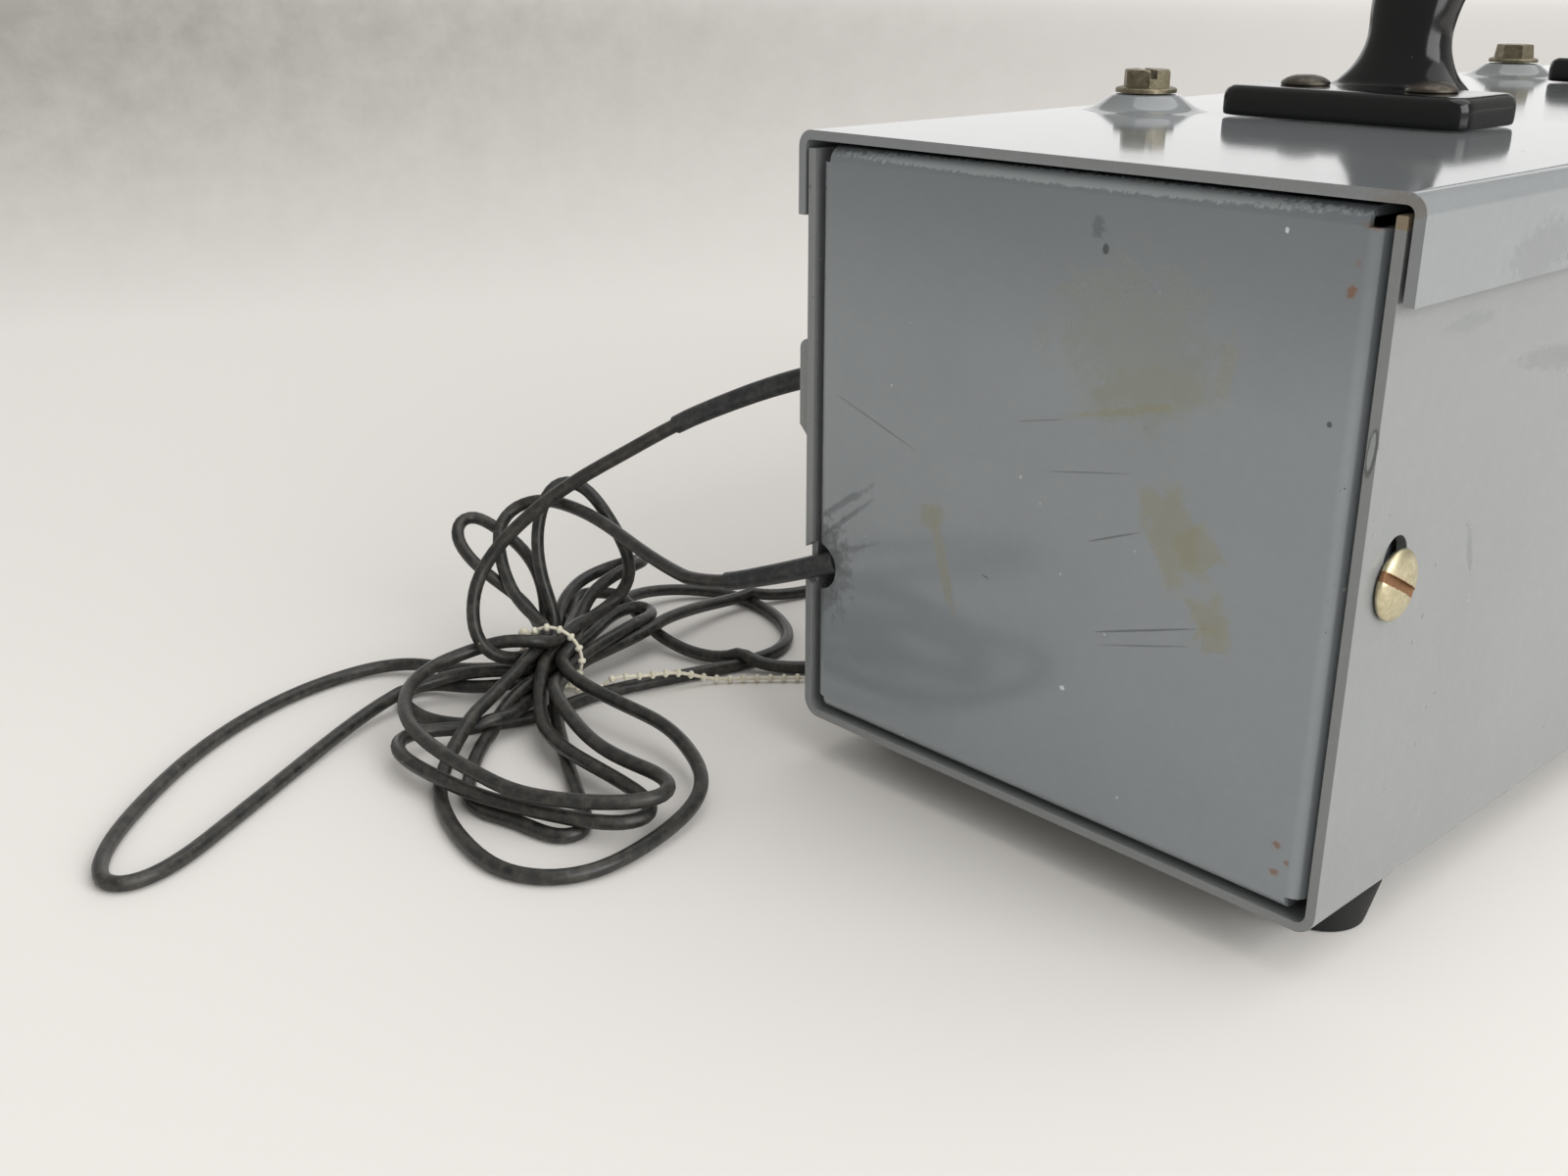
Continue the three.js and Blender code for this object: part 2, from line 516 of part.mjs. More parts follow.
function buildHandle() {
  const low = LID_TOP + CLEARANCE;
  const ears = [-1, 1].map((end) => {
    const outer = end * HANDLE_REACH;
    const inner = end * (HANDLE_REACH - HANDLE_EAR_DEPTH);
    const outline = roundedRectangle(-HANDLE_EAR_WIDTH / 2, HANDLE_EAR_WIDTH / 2, CASE_Y + Math.min(outer,
      inner),
      CASE_Y + Math.max(outer, inner), HANDLE_EAR_CORNER);
    return upwards(outline, low, low + HANDLE_EAR_THICKNESS, { curveSegments: 3 });
  });
  const foot = HANDLE_REACH - HANDLE_EAR_DEPTH - HANDLE_POST_INSET;
  const top = low + HANDLE_HEIGHT - HANDLE_POST_DEPTH / 2;
  const half = [[foot, low + 1], [foot - 1, low + 12], [foot - 3, low + 22], [foot - 9, top - 5],
    [foot - 22, top]];
  const flares = [-1, 1].map((end) => turned([[0, 0], [HANDLE_FLARE_RADIUS, 0],
    [0.72 * HANDLE_FLARE_RADIUS, HANDLE_FLARE_RISE / 2], [HANDLE_POST_WIDTH / 2, HANDLE_FLARE_RISE], [0,
      HANDLE_FLARE_RISE]],
  'z', [0, 0, 0], 20).scale(1, HANDLE_FLARE_SHARE, 1).translate(0, CASE_Y + end * foot, low + CLEARANCE));
  const path = [...half.map(([y, z]) => [-y, z]), [0, top + 0.5], ...half.reverse()];
  const curve = new THREE.CatmullRomCurve3(path.map(([y, z]) => new THREE.Vector3(0, CASE_Y + y, z)));
  const section = shapeOf(Array.from({ length: 12 }, (_, i) => {
    const angle = radians(30 * i);
    return [(HANDLE_POST_DEPTH / 2) * Math.cos(angle), (HANDLE_POST_WIDTH / 2) * Math.sin(angle)];
  }));
  const bar = new THREE.ExtrudeGeometry(section, { steps: 28, extrudePath: curve, bevelEnabled: false });
  const floor = block(-HANDLE_EAR_WIDTH, HANDLE_EAR_WIDTH, CASE_Y - CASE_LENGTH, CASE_Y + CASE_LENGTH, 0,
    low);
  const holes = [];
  for (const end of [-1, 1]) {
    for (const side of [-1, 1]) {
      holes.push(rod('z', HANDLE_SCREW_SHANK_RADIUS + CLEARANCE, -CUT, HANDLE_EAR_THICKNESS + CUT,
        [side * HANDLE_SCREW_SPACING / 2, CASE_Y + end * HANDLE_SCREW_Y, low], 10));
    }
  }
  add('carry_handle', cut(join(...ears, ...flares, bar), floor, ...holes), blackPlastic);
  const seat = low + HANDLE_EAR_THICKNESS + CLEARANCE;
  const shankEnd = LID_UNDER - 4 - seat;
  const profile = [[0, shankEnd], [HANDLE_SCREW_SHANK_RADIUS, shankEnd], [HANDLE_SCREW_SHANK_RADIUS, 0],
    [HANDLE_SCREW_RADIUS, 0], [HANDLE_SCREW_RADIUS * 0.8, HANDLE_SCREW_HEIGHT * 0.7], [0,
      HANDLE_SCREW_HEIGHT]];
  for (const [end, endName] of [[-1, 'front'], [1, 'rear']]) {
    for (const [side, sideName] of [[-1, 'left'], [1, 'right']]) {
      const at = [side * HANDLE_SCREW_SPACING / 2, CASE_Y + end * HANDLE_SCREW_Y, seat];
      add(`handle_screw_${endName}_${sideName}`, turned(profile, 'z', at, 16), zincPlate);
    }
  }
}

// ---------------------------------------------------------------- works inside
function buildDeck() {
  let deck = block(-DECK_WIDTH / 2, DECK_WIDTH / 2, CASE_Y + DECK_FRONT, CASE_Y + DECK_BACK, DECK_UNDER,
    DECK_TOP);
  for (const [x, y] of BOSSES) {
    deck = join(deck, rod('z', STANDOFF_RADIUS, -CUT, DECK_DROP - CLEARANCE, [x, CASE_Y + y, DECK_TOP], 16));
  }
  const holes = BOSSES.map(([x, y]) => rod('z', BOLT_SHANK_RADIUS + CLEARANCE, -DECK_THICKNESS - CUT,
    DECK_DROP,
    [x, CASE_Y + y, DECK_TOP], 12));
  add('deck_plate', cut(deck, ...holes), steel);
}

const MOTOR_Y = CASE_Y + MOTOR_CENTRE;
const motorAt = [0, MOTOR_Y, MOTOR_Z];
const BELL_DEPTH = WINDING_LENGTH + END_BELL_WALL + 3;
const MOTOR_HALF = STATOR_LENGTH / 2 + CLEARANCE + BELL_DEPTH;

function buildMotor() {
  const half = STATOR_LENGTH / 2;
  add('stator_core', ring('y', STATOR_OUTER, ROTOR_RADIUS + AIR_GAP, -half, half, motorAt, 28), steel);
  const bore = MOTOR_SHAFT_RADIUS + RUNNING_CLEARANCE;
  for (const [end, name] of [[-1, 'front'], [1, 'rear']]) {
    const near = end * (half + CLEARANCE);
    const coil = [near, near + end * WINDING_LENGTH].sort((a, b) => a - b);
    add(`stator_winding_${name}`, ring('y', WINDING_RADIUS, ROTOR_RADIUS + 2, coil[0], coil[1], motorAt,
      24), copper);
    const far = near + end * BELL_DEPTH;
    const web = far - end * END_BELL_WALL;
    const hub = bore + BEARING_WALL;
    const tip = web + end * BEARING_LENGTH;
    const outer = STATOR_OUTER;
    const inner = WINDING_RADIUS + 1;
    const shell = [[inner, near], [outer, near], [outer, far], [hub, far], [hub, tip], [bore, tip], [bore,
      web],
      [inner, web], [inner, near]];
    const bell = turned(end > 0 ? shell : shell.reverse(), 'y', motorAt, 28);
    const saddle = [near, far].sort((a, b) => a - b);
    const lug = block(-14, 14, MOTOR_Y + saddle[0], MOTOR_Y + saddle[1], MOTOR_Z + STATOR_OUTER - 3,
      DECK_UNDER - CLEARANCE);
    add(`end_bell_${name}`, join(bell, lug), castMetal);
  }
  const core = MOTOR_SHAFT_RADIUS + CLEARANCE;
  add('rotor_core', ring('y', ROTOR_RADIUS, core, -half, half, motorAt, 28), steel);
  const shaft = rod('y', MOTOR_SHAFT_RADIUS, -(MOTOR_HALF + BEARING_LENGTH),
    firstGearY + GEAR_FACE + 1 - MOTOR_Y,
    motorAt, 16);
  const pinion = gear(MOTOR_PINION_TEETH, GEAR_MODULE_FIRST, radians(FIRST_MESH_ANGLE), 0, [0, MOTOR_Z],
    firstGearY);
  add('motor_shaft', join(shaft, pinion), steel);
}

function gear(teeth, module, start, bore, centre, y) {
  const shape = gearShape(teeth, module, start, bore);
  return alongY(shape, y, y + GEAR_FACE, { curveSegments: 6 }).translate(centre[0], 0, centre[1]);
}

function buildGears() {
  const first = radians(FIRST_MESH_ANGLE);
  const second = radians(SECOND_MESH_ANGLE);
  add('reduction_gear', gear(FIRST_GEAR_TEETH, GEAR_MODULE_FIRST,
    first + Math.PI - Math.PI / FIRST_GEAR_TEETH,
    LAYSHAFT_RADIUS + CLEARANCE, LAYSHAFT, firstGearY), phenolic);
  add('output_gear', gear(OUTPUT_GEAR_TEETH, GEAR_MODULE_SECOND,
    second + Math.PI - Math.PI / OUTPUT_GEAR_TEETH,
    OUTPUT_SHAFT_RADIUS + CLEARANCE, OUTPUT, secondGearY), steel);
  const shaftFrom = plateFrontY - 2;
  const layshaft = rod('y', LAYSHAFT_RADIUS, shaftFrom, plateRearY + GEAR_PLATE_THICKNESS + 2,
    [LAYSHAFT[0], 0, LAYSHAFT[1]], 16);
  const pinion = gear(SECOND_PINION_TEETH, GEAR_MODULE_SECOND, second, 0, LAYSHAFT, secondGearY);
  add('layshaft', join(layshaft, pinion), steel);
  add('output_shaft', rod('y', OUTPUT_SHAFT_RADIUS, shaftFrom, BACK + OUTPUT_REACH, [OUTPUT[0], 0,
    OUTPUT[1]], 20), steel);
  const plate = (y) => {
    const body = block(-DECK_WIDTH / 2, DECK_WIDTH / 2, y, y + GEAR_PLATE_THICKNESS, FLOOR + CLEARANCE,
      DECK_UNDER - CLEARANCE);
    const hole = (radius, [x, z]) => rod('y', radius + RUNNING_CLEARANCE, y - CUT,
      y + GEAR_PLATE_THICKNESS + CUT,
      [x, 0, z], 20);
    return [body, hole(LAYSHAFT_RADIUS, LAYSHAFT), hole(OUTPUT_SHAFT_RADIUS, OUTPUT)];
  };
  const motorOpening = rod('y', MOTOR_SHAFT_RADIUS + 3, plateFrontY - CUT,
    plateFrontY + GEAR_PLATE_THICKNESS + CUT,
    [0, 0, MOTOR_Z], 16);
  add('gear_plate_front', cut(...plate(plateFrontY), motorOpening), steel);
  add('gear_plate_rear', cut(...plate(plateRearY)), steel);
}

function buildOutput() {
  const radius = SPROCKET_PITCH / (2 * Math.sin(Math.PI / SPROCKET_TEETH));
  const shape = shapeOf(Array.from({ length: SPROCKET_TEETH * 4 }, (_, i) => {
    const share = [-0.34, -0.09, 0.09, 0.34][i % 4];
    const reach = i % 4 === 1 || i % 4 === 2 ? radius + 2.6 : radius - 3.8;
    const angle = ((Math.floor(i / 4) + share) * 2 * Math.PI) / SPROCKET_TEETH;
    return [reach * Math.cos(angle), reach * Math.sin(angle)];
  }));
  shape.holes.push(new THREE.Path().absarc(0, 0, OUTPUT_SHAFT_RADIUS + CLEARANCE, 0, 2 * Math.PI, true));
  const y = BACK + 5;
  add('drive_sprocket', alongY(shape, y, y + SPROCKET_FACE, { curveSegments: 8 }).translate(OUTPUT[0], 0,
    OUTPUT[1]), steel);
  const camY = CASE_Y + CAM_POSITION;
  const disc = ring('y', CAM_RADIUS, OUTPUT_SHAFT_RADIUS + CLEARANCE, camY, camY + CAM_THICKNESS, [0, 0,
    0], 32);
  const dip = block(CAM_RADIUS - 3, CAM_RADIUS + CUT, camY - CUT, camY + CAM_THICKNESS + CUT, -3.5, 3.5);
  add('limit_cam', cut(disc, dip.rotateY(radians(-90))).translate(OUTPUT[0], 0, OUTPUT[1]), nylon);
}

// A snap switch each side of the cam, its sprung lever just clear of the rim.
function buildLimitSwitches() {
  const camY = CASE_Y + CAM_POSITION;
  const [width, depth, height] = SWITCH_SIZE;
  const backY = camY + (depth + CAM_THICKNESS) / 2 + CLEARANCE;
  for (const [side, name] of [[-1, 'open'], [1, 'close']]) {
    const leverX = OUTPUT[0] + side * (CAM_RADIUS + 0.6);
    const z = OUTPUT[1];
    const middle = (side * LEVER_THICKNESS) / 2;
    const lever = block(middle - LEVER_THICKNESS / 2, middle + LEVER_THICKNESS / 2, camY,
      camY + CAM_THICKNESS,
      -LEVER_TIP_DROP, LEVER_LENGTH - LEVER_TIP_DROP);
    const pivot = rod('y', LEVER_PIVOT_RADIUS, camY - 1, backY - CLEARANCE, [middle, 0,
      LEVER_LENGTH - LEVER_TIP_DROP], 12);
    const arm = join(lever, pivot);
    add(`limit_lever_${name}`, arm.translate(leverX, 0, z), steel);
    const start = leverX + side * (LEVER_THICKNESS + 3.2);
    const xs = [start, start + side * width].sort((a, b) => a - b);
    const body = block(xs[0], xs[1], camY - (depth - CAM_THICKNESS) / 2, camY + (depth + CAM_THICKNESS) / 2,
      z - 2, z - 2 + height);
    add(`limit_switch_${name}`, body, phenolic);
  }
  const low = OUTPUT[1] - LEVER_TIP_DROP;
  const bracket = block(-48, 56, backY, backY + 2, low, DECK_UNDER - CLEARANCE);
  add('switch_bracket', cut(bracket, rod('y', OUTPUT_SHAFT_RADIUS + 5, backY - CUT, backY + 3,
    [OUTPUT[0], 0, OUTPUT[1]], 16)), steel);
}

const RELAY_X = 26;
const RELAY_Y = CASE_Y + DECK_FRONT + 22;
const RELAY_TOP = DECK_UNDER - CLEARANCE;
const RELAY_HALF_WIDTH = 14;
const RELAY_HEIGHT = 46;
const RELAY_REACH = 30;
const RELAY_PLATE = 3;
const RELAY_CORE_RADIUS = 5;
const RELAY_CORE_LENGTH = 35;
const RELAY_CORE_OFFSET = 16;          // core axis, behind the yoke's back face
const RELAY_COIL_RADIUS = 12;
const RELAY_COIL_LENGTH = 31;
const ARMATURE_HALF_WIDTH = 12;
const ARMATURE_DROP = 42;              // its upper face, below the top of the yoke
const ARMATURE_THICKNESS = 2;
const ARMATURE_LIP_RADIUS = 1.6;
const TRANSFORMER_MIDDLE = -22;
const TRANSFORMER_HALF_WIDTH = 24;
const TRANSFORMER_FRONT = -14;         // its front face, from the relay's yoke
const TRANSFORMER_STACK = 36;
const TRANSFORMER_HEIGHT = 42;
const TRANSFORMER_LIMB = 8;            // outer limbs and both yokes
const TRANSFORMER_CORE_HALF = 6;
const WINDING_OVERHANG = 10;
const STRIP_LEFT = -50;
const STRIP_LENGTH = 42;
const STRIP_DEPTH = 18;
const STRIP_HEIGHT = 12;
const STRIP_WELLS = 4;
const STRIP_PITCH = 10;
const STRIP_WELL_RADIUS = 3;
const STRIP_WELL_DEPTH = 5;

function buildRelay() {
  const left = RELAY_X - RELAY_HALF_WIDTH;
  const right = RELAY_X + RELAY_HALF_WIDTH;
  const coreAt = [RELAY_X, RELAY_Y + RELAY_CORE_OFFSET, RELAY_TOP - RELAY_PLATE + CUT];
  const yoke = block(left, right, RELAY_Y - RELAY_PLATE, RELAY_Y, RELAY_TOP - RELAY_HEIGHT, RELAY_TOP);
  const top = block(left, right, RELAY_Y - RELAY_PLATE, RELAY_Y + RELAY_REACH, RELAY_TOP - RELAY_PLATE,
    RELAY_TOP);
  const core = rod('z', RELAY_CORE_RADIUS, -RELAY_CORE_LENGTH, 0, coreAt, 14);
  add('relay_yoke', join(yoke, top, core), steel);
  const coilTop = RELAY_TOP - RELAY_PLATE - CLEARANCE;
  add('relay_coil', ring('z', RELAY_COIL_RADIUS, RELAY_CORE_RADIUS + CLEARANCE, coilTop - RELAY_COIL_LENGTH,
    coilTop, [coreAt[0], coreAt[1], 0], 20), copper);
  const upper = RELAY_TOP - ARMATURE_DROP;
  const near = RELAY_X - ARMATURE_HALF_WIDTH;
  const far = RELAY_X + ARMATURE_HALF_WIDTH;
  const blade = block(near, far, RELAY_Y + CUT, RELAY_Y + RELAY_REACH, upper - ARMATURE_THICKNESS, upper);
  const lip = rod('x', ARMATURE_LIP_RADIUS, near, far,
    [0, RELAY_Y + ARMATURE_THICKNESS, upper - ARMATURE_THICKNESS / 2], 12);
  add('relay_armature', join(blade, lip), steel);
}

function buildTransformer() {
  const front = RELAY_Y + TRANSFORMER_FRONT;
  const back = front + TRANSFORMER_STACK;
  const low = RELAY_TOP - TRANSFORMER_HEIGHT;
  const left = TRANSFORMER_MIDDLE - TRANSFORMER_HALF_WIDTH;
  const right = TRANSFORMER_MIDDLE + TRANSFORMER_HALF_WIDTH;
  const coreLeft = TRANSFORMER_MIDDLE - TRANSFORMER_CORE_HALF;
  const coreRight = TRANSFORMER_MIDDLE + TRANSFORMER_CORE_HALF;
  const windowLow = low + TRANSFORMER_LIMB;
  const windowHigh = RELAY_TOP - TRANSFORMER_LIMB;
  const windowLeft = left + TRANSFORMER_LIMB;
  const windowRight = right - TRANSFORMER_LIMB;
  add('transformer_core', cut(block(left, right, front, back, low, RELAY_TOP),
    block(windowLeft, coreLeft, front - CUT, back + CUT, windowLow, windowHigh),
    block(coreRight, windowRight, front - CUT, back + CUT, windowLow, windowHigh)), steel);
  const bobbin = block(windowLeft + CLEARANCE, windowRight - CLEARANCE, front - WINDING_OVERHANG,
    back + WINDING_OVERHANG, windowLow + CLEARANCE, windowHigh - CLEARANCE);
  add('transformer_winding', cut(bobbin, block(coreLeft - CLEARANCE, coreRight + CLEARANCE, front - CLEARANCE,
    back + CLEARANCE, windowLow - CUT, windowHigh + CUT)), copper);
}

function buildTerminals() {
  const front = CASE_Y + DECK_FRONT;
  const top = FLOOR + STRIP_HEIGHT;
  const strip = block(STRIP_LEFT, STRIP_LEFT + STRIP_LENGTH, front, front + STRIP_DEPTH,
    FLOOR + CLEARANCE, top);
  const first = STRIP_LEFT + (STRIP_LENGTH - (STRIP_WELLS - 1) * STRIP_PITCH) / 2;
  const wells = Array.from({ length: STRIP_WELLS }, (_, i) => rod('z', STRIP_WELL_RADIUS,
    top - STRIP_WELL_DEPTH,
    top + CUT, [first + i * STRIP_PITCH, front + STRIP_DEPTH / 2, 0], 10));
  add('terminal_strip', cut(strip, ...wells), phenolic);
}

// ---------------------------------------------------------------- leads
// Places are (out from the left wall, behind the front edge, height), from a corner just outside the case.
const LEAD_CORNER = [-(WALL + 0.5), FRONT - 0.5];
const beside = (points) => points.map(([out, along, ...up]) => [LEAD_CORNER[0] - out,
  LEAD_CORNER[1] + along, ...up]);
const UPPER_SLEEVE = beside([[18, 7, OUTLET_Z - 4.2], [37, -4, OUTLET_Z - 14.2]]);
const LOWER_SLEEVE = beside([[18, -7, NOTCH_Z - 8]]);
const UPPER_RUN = beside([[49, -9, OUTLET_Z - 22], [58, -17, OUTLET_Z - 29], [66, -22, OUTLET_Z - 36]]);
const LOWER_RUN = beside([[30, -8, NOTCH_Z - 10], [39, -7, NOTCH_Z - 10], [60, -4, NOTCH_Z - 7],
  [78, -3, NOTCH_Z - 6]]);
const BUNDLE = beside([[-14, -70], [-18, -60], [-16, -44], [-2, -26], [28, -12], [40, 26], [32, 52], [48, 66],
  [64, 60], [94, 52], [98, 44], [98, 28], [104, 4], [108, -28], [90, -40], [108, -52], [108, -76], [98, -100],
  [60, -146], [42, -147], [36, -132], [48, -104], [40, -86], [4, -88]]);
const BUNDLE_TOP = 12;
const MOUND_AT = beside([[80, -12]])[0];
const MOUND_RADIUS = 25;               // along the strands that stand up over the tie
const MOUND_SHARE = 0.62;              // its radius across them, as a share of that
const MOUND_TURN = -58;
const MOUND_TOP = 36;
const COIL_RADIUS = 5.5 * CORD_DIAMETER;
const COIL_LAYERS = 2;
const COIL_WIDTH = 3;
const COIL_SPACING = 70;               // from one put-away coil to the next
const [UPPER_COIL, LOWER_COIL] = beside([[28, 90 + COIL_SPACING], [28, 90]]);
const UPPER_TAIL = beside([[70, 66], [69, 92], [64, 122], [55, 145]]);
const LOWER_TAIL = beside([[31, 35], [27, 46], [31, 54], [42, 67], [52, 80]]);
const SLEEVE_GAP = 0.5;                // along the lead, from a sleeve's end to the run that leaves it
const GROUND_GAP = 0.1;
const PLUG_LENGTH = 20;
const PLUG_RADIUS = 4.2;
const PLUG_TAPER = 4;
const PIN_RADIUS = 1.2;
const PIN_LENGTH = 8;

function buildOutlet() {
  const outer = -(WALL + CLEARANCE);
  const face = outer - OUTLET_THICKNESS;
  const low = OUTLET_Z - OUTLET_HEIGHT / 2;
  const high = OUTLET_Z + OUTLET_HEIGHT / 2;
  const profile = shapeOf([[outer, low], [outer, high], [face + OUTLET_CORNER, high], [face,
    high - OUTLET_CORNER],
    [face, low + OUTLET_CORNER], [face + OUTLET_CORNER, low]]);
  const plate = alongY(profile, OUTLET_Y - OUTLET_WIDTH / 2, OUTLET_Y + OUTLET_WIDTH / 2);
  const hole = rod('x', SLEEVE_DIAMETER / 2 + CLEARANCE, face - CUT, outer + CUT, [0, OUTLET_Y, OUTLET_Z],
    12);
  add('lead_outlet', cut(plate, hole), enamel);
}

function sleeve(name, points) {
  add(name, tube(points, SLEEVE_DIAMETER, 9, 10), rubber);
}

// A run starts just past the end of its sleeve.
function past(end, before) {
  const way = new THREE.Vector3(...end).sub(new THREE.Vector3(...before)).normalize();
  return end.map((value, axis) => value + SLEEVE_GAP * way.getComponent(axis));
}

function buildLeads() {
  buildOutlet();
  const inside = -(INNER_WALL - 2);
  sleeve('lead_sleeve_upper', [[inside, OUTLET_Y, OUTLET_Z], [-(WALL + OUTLET_THICKNESS + 4),
    OUTLET_Y - 0.4, OUTLET_Z],
    ...UPPER_SLEEVE]);
  const lowerStart = [NOTCH_X + 4.5, FRONT + 13.5, NOTCH_Z + 1.5];
  sleeve('lead_sleeve_lower', [lowerStart, [NOTCH_X, FRONT, NOTCH_Z], ...LOWER_SLEEVE]);
  const slab = upwards(shapeOf(BUNDLE), GROUND_GAP, BUNDLE_TOP);
  const dome = [[0, 0], [MOUND_RADIUS, 0], [0.92 * MOUND_RADIUS, 0.6 * MOUND_TOP], [0.6 * MOUND_RADIUS,
    0.9 * MOUND_TOP],
    [0, MOUND_TOP]];
  const mound = turned(dome, 'z', [0, 0, 0], 20).scale(1, MOUND_SHARE, 1).rotateZ(radians(MOUND_TURN))
    .translate(MOUND_AT[0], MOUND_AT[1], GROUND_GAP);
  add('lead_bundle', join(slab, mound), cordJacket);
  add('lead_upper_run', tube([past(UPPER_SLEEVE[1], UPPER_SLEEVE[0]), ...UPPER_RUN], CORD_DIAMETER, 8),
    cordJacket);
  add('lead_lower_run', tube([past(LOWER_SLEEVE[0], [NOTCH_X, FRONT, NOTCH_Z]), ...LOWER_RUN],
    CORD_DIAMETER, 8),
    cordJacket);
  const low = CORD_DIAMETER / 2 + GROUND_GAP;
  const outer = COIL_RADIUS + (COIL_WIDTH / 2) * CORD_DIAMETER;
  const inner = COIL_RADIUS - (COIL_WIDTH / 2) * CORD_DIAMETER;
  const touch = outer + CLEARANCE + CORD_DIAMETER / 2;
  for (const [name, [x, y], tail] of [['upper', UPPER_COIL, UPPER_TAIL], ['lower', LOWER_COIL, LOWER_TAIL]]) {
    add(`lead_${name}_coil`, ring('z', outer, inner, GROUND_GAP, GROUND_GAP + COIL_LAYERS * CORD_DIAMETER,
      [x, y, 0], 24), cordJacket);
    const route = [...tail.map((place) => [...place, low]), [x - touch, y, low]];
    add(`lead_${name}_tail`, tube(route, CORD_DIAMETER, 8), cordJacket);
    const start = [x - PLUG_LENGTH / 2, y + outer + CLEARANCE + PLUG_RADIUS, PLUG_RADIUS + GROUND_GAP];
    const barrel = turned([[0, 0], [0.6 * PLUG_RADIUS, 0], [PLUG_RADIUS, PLUG_TAPER], [PLUG_RADIUS,
      PLUG_LENGTH],
      [0, PLUG_LENGTH]], 'x', start, 12);
    const pin = rod('x', PIN_RADIUS, PLUG_LENGTH - CUT, PLUG_LENGTH + PIN_LENGTH, start, 8);
    add(`lead_${name}_plug`, join(barrel, pin), blackPlastic);
  }
}

buildCase();
buildLid();
buildPanels();
buildFeet();
buildSideScrews();
buildLidBolts();
buildHandle();
buildDeck();
buildMotor();
buildGears();
buildOutput();
buildLimitSwitches();
buildRelay();
buildTransformer();
buildTerminals();
buildLeads();

export default unit;
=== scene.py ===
"""Garage door opener power unit: the looks of a painted steel box with two tied leads.

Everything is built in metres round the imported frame. Sizes below are in millimetres, and
`MM` turns them to metres. +X runs to the right across the front end panel, +Y along the box
to the drive end, and +Z up.
"""

import json
import logging
import math
from dataclasses import dataclass, field
from enum import Enum
from typing import Callable, Iterable, Sequence

import bmesh
import bpy
import numpy as np
from mathutils import Matrix, Vector


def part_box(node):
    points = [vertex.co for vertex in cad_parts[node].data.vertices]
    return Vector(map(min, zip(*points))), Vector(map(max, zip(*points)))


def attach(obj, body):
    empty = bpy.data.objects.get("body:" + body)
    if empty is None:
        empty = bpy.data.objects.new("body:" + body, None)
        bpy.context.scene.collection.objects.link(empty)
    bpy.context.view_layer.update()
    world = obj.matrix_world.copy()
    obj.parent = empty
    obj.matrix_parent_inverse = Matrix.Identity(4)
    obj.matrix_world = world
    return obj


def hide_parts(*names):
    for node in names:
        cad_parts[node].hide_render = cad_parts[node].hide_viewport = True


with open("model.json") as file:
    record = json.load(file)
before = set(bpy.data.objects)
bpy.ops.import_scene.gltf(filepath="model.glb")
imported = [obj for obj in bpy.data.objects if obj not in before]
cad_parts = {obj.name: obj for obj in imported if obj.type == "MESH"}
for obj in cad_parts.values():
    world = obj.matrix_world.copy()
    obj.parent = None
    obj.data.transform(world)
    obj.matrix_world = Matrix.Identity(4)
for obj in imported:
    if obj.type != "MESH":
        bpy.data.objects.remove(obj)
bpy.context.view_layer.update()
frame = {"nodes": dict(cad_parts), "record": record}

MM = 0.001
LOG = logging.getLogger("opener")

Point = tuple[float, float, float]
Outline = list[tuple[float, float]]
Socket = bpy.types.NodeSocket

SHEET = 1.9
CORD_DIAMETER = 3.2
SLEEVE_DIAMETER = 4.4


class Axis(Enum):
    """The line that a prism or a turned piece runs along."""

    X = 0
    Y = 1
    Z = 2


class Slot(Enum):
    """The record's material slots."""

    ENAMEL = "enamel"
    BLACK_PLASTIC = "black_plastic"
    RUBBER = "rubber"
    ZINC = "zinc_plate"
    BRASS = "brass"
    STEEL = "steel"
    CAST = "cast_metal"
    COPPER = "copper"
    PHENOLIC = "phenolic"
    NYLON = "nylon"
    JACKET = "cord_jacket"


# ------------------------------------------------------------------ shader nodes


def linear(hex_colour: str) -> tuple[float, float, float, float]:
    """Turns an sRGB hex colour to linear RGBA.

    Args:
        hex_colour: Six hex digits.

    Returns:
        The colour in scene-linear values, opaque.
    """
    parts = [int(hex_colour[i : i + 2], 16) / 255 for i in (0, 2, 4)]
    low = [p / 12.92 if p <= 0.04045 else ((p + 0.055) / 1.055) ** 2.4 for p in parts]
    return (low[0], low[1], low[2], 1.0)


def add_node(
    tree: bpy.types.NodeTree,
    kind: str,
    links: dict | None = None,
    values: dict | None = None,
    **settings: object,
) -> bpy.types.Node:
    """Adds one node with its settings, input values and incoming links.

    Args:
        tree: The tree that gets the node.
        kind: Blender's name for the node type.
        links: Input name or index to the output socket that feeds it.
        values: Input name or index to a constant.
        **settings: Attributes of the node itself.

    Returns:
        The new node.
    """
    node = tree.nodes.new(kind)
    for name, value in settings.items():
        setattr(node, name, value)
    for name, value in (values or {}).items():
        node.inputs[name].default_value = value
    for name, socket in (links or {}).items():
        tree.links.new(socket, node.inputs[name])
    return node


def ranged(
    tree: bpy.types.NodeTree,
    value: Socket,
    taken: tuple[float, float],
    given: tuple[float, float],
    smooth: bool = False,
) -> Socket:
    """Maps a value from one range to another, clamped.

    Args:
        tree: The material's node tree.
        value: What is mapped.
        taken: The range that it comes from.
        given: The range that it goes to.
        smooth: Whether both ends ease in.

    Returns:
        The mapped value.
    """
    bounds = dict(zip(("From Min", "From Max", "To Min", "To Max"), (*taken, *given)))
    kind = "SMOOTHSTEP" if smooth else "LINEAR"
    return add_node(
        tree, "ShaderNodeMapRange", {"Value": value}, bounds, interpolation_type=kind
    ).outputs["Result"]


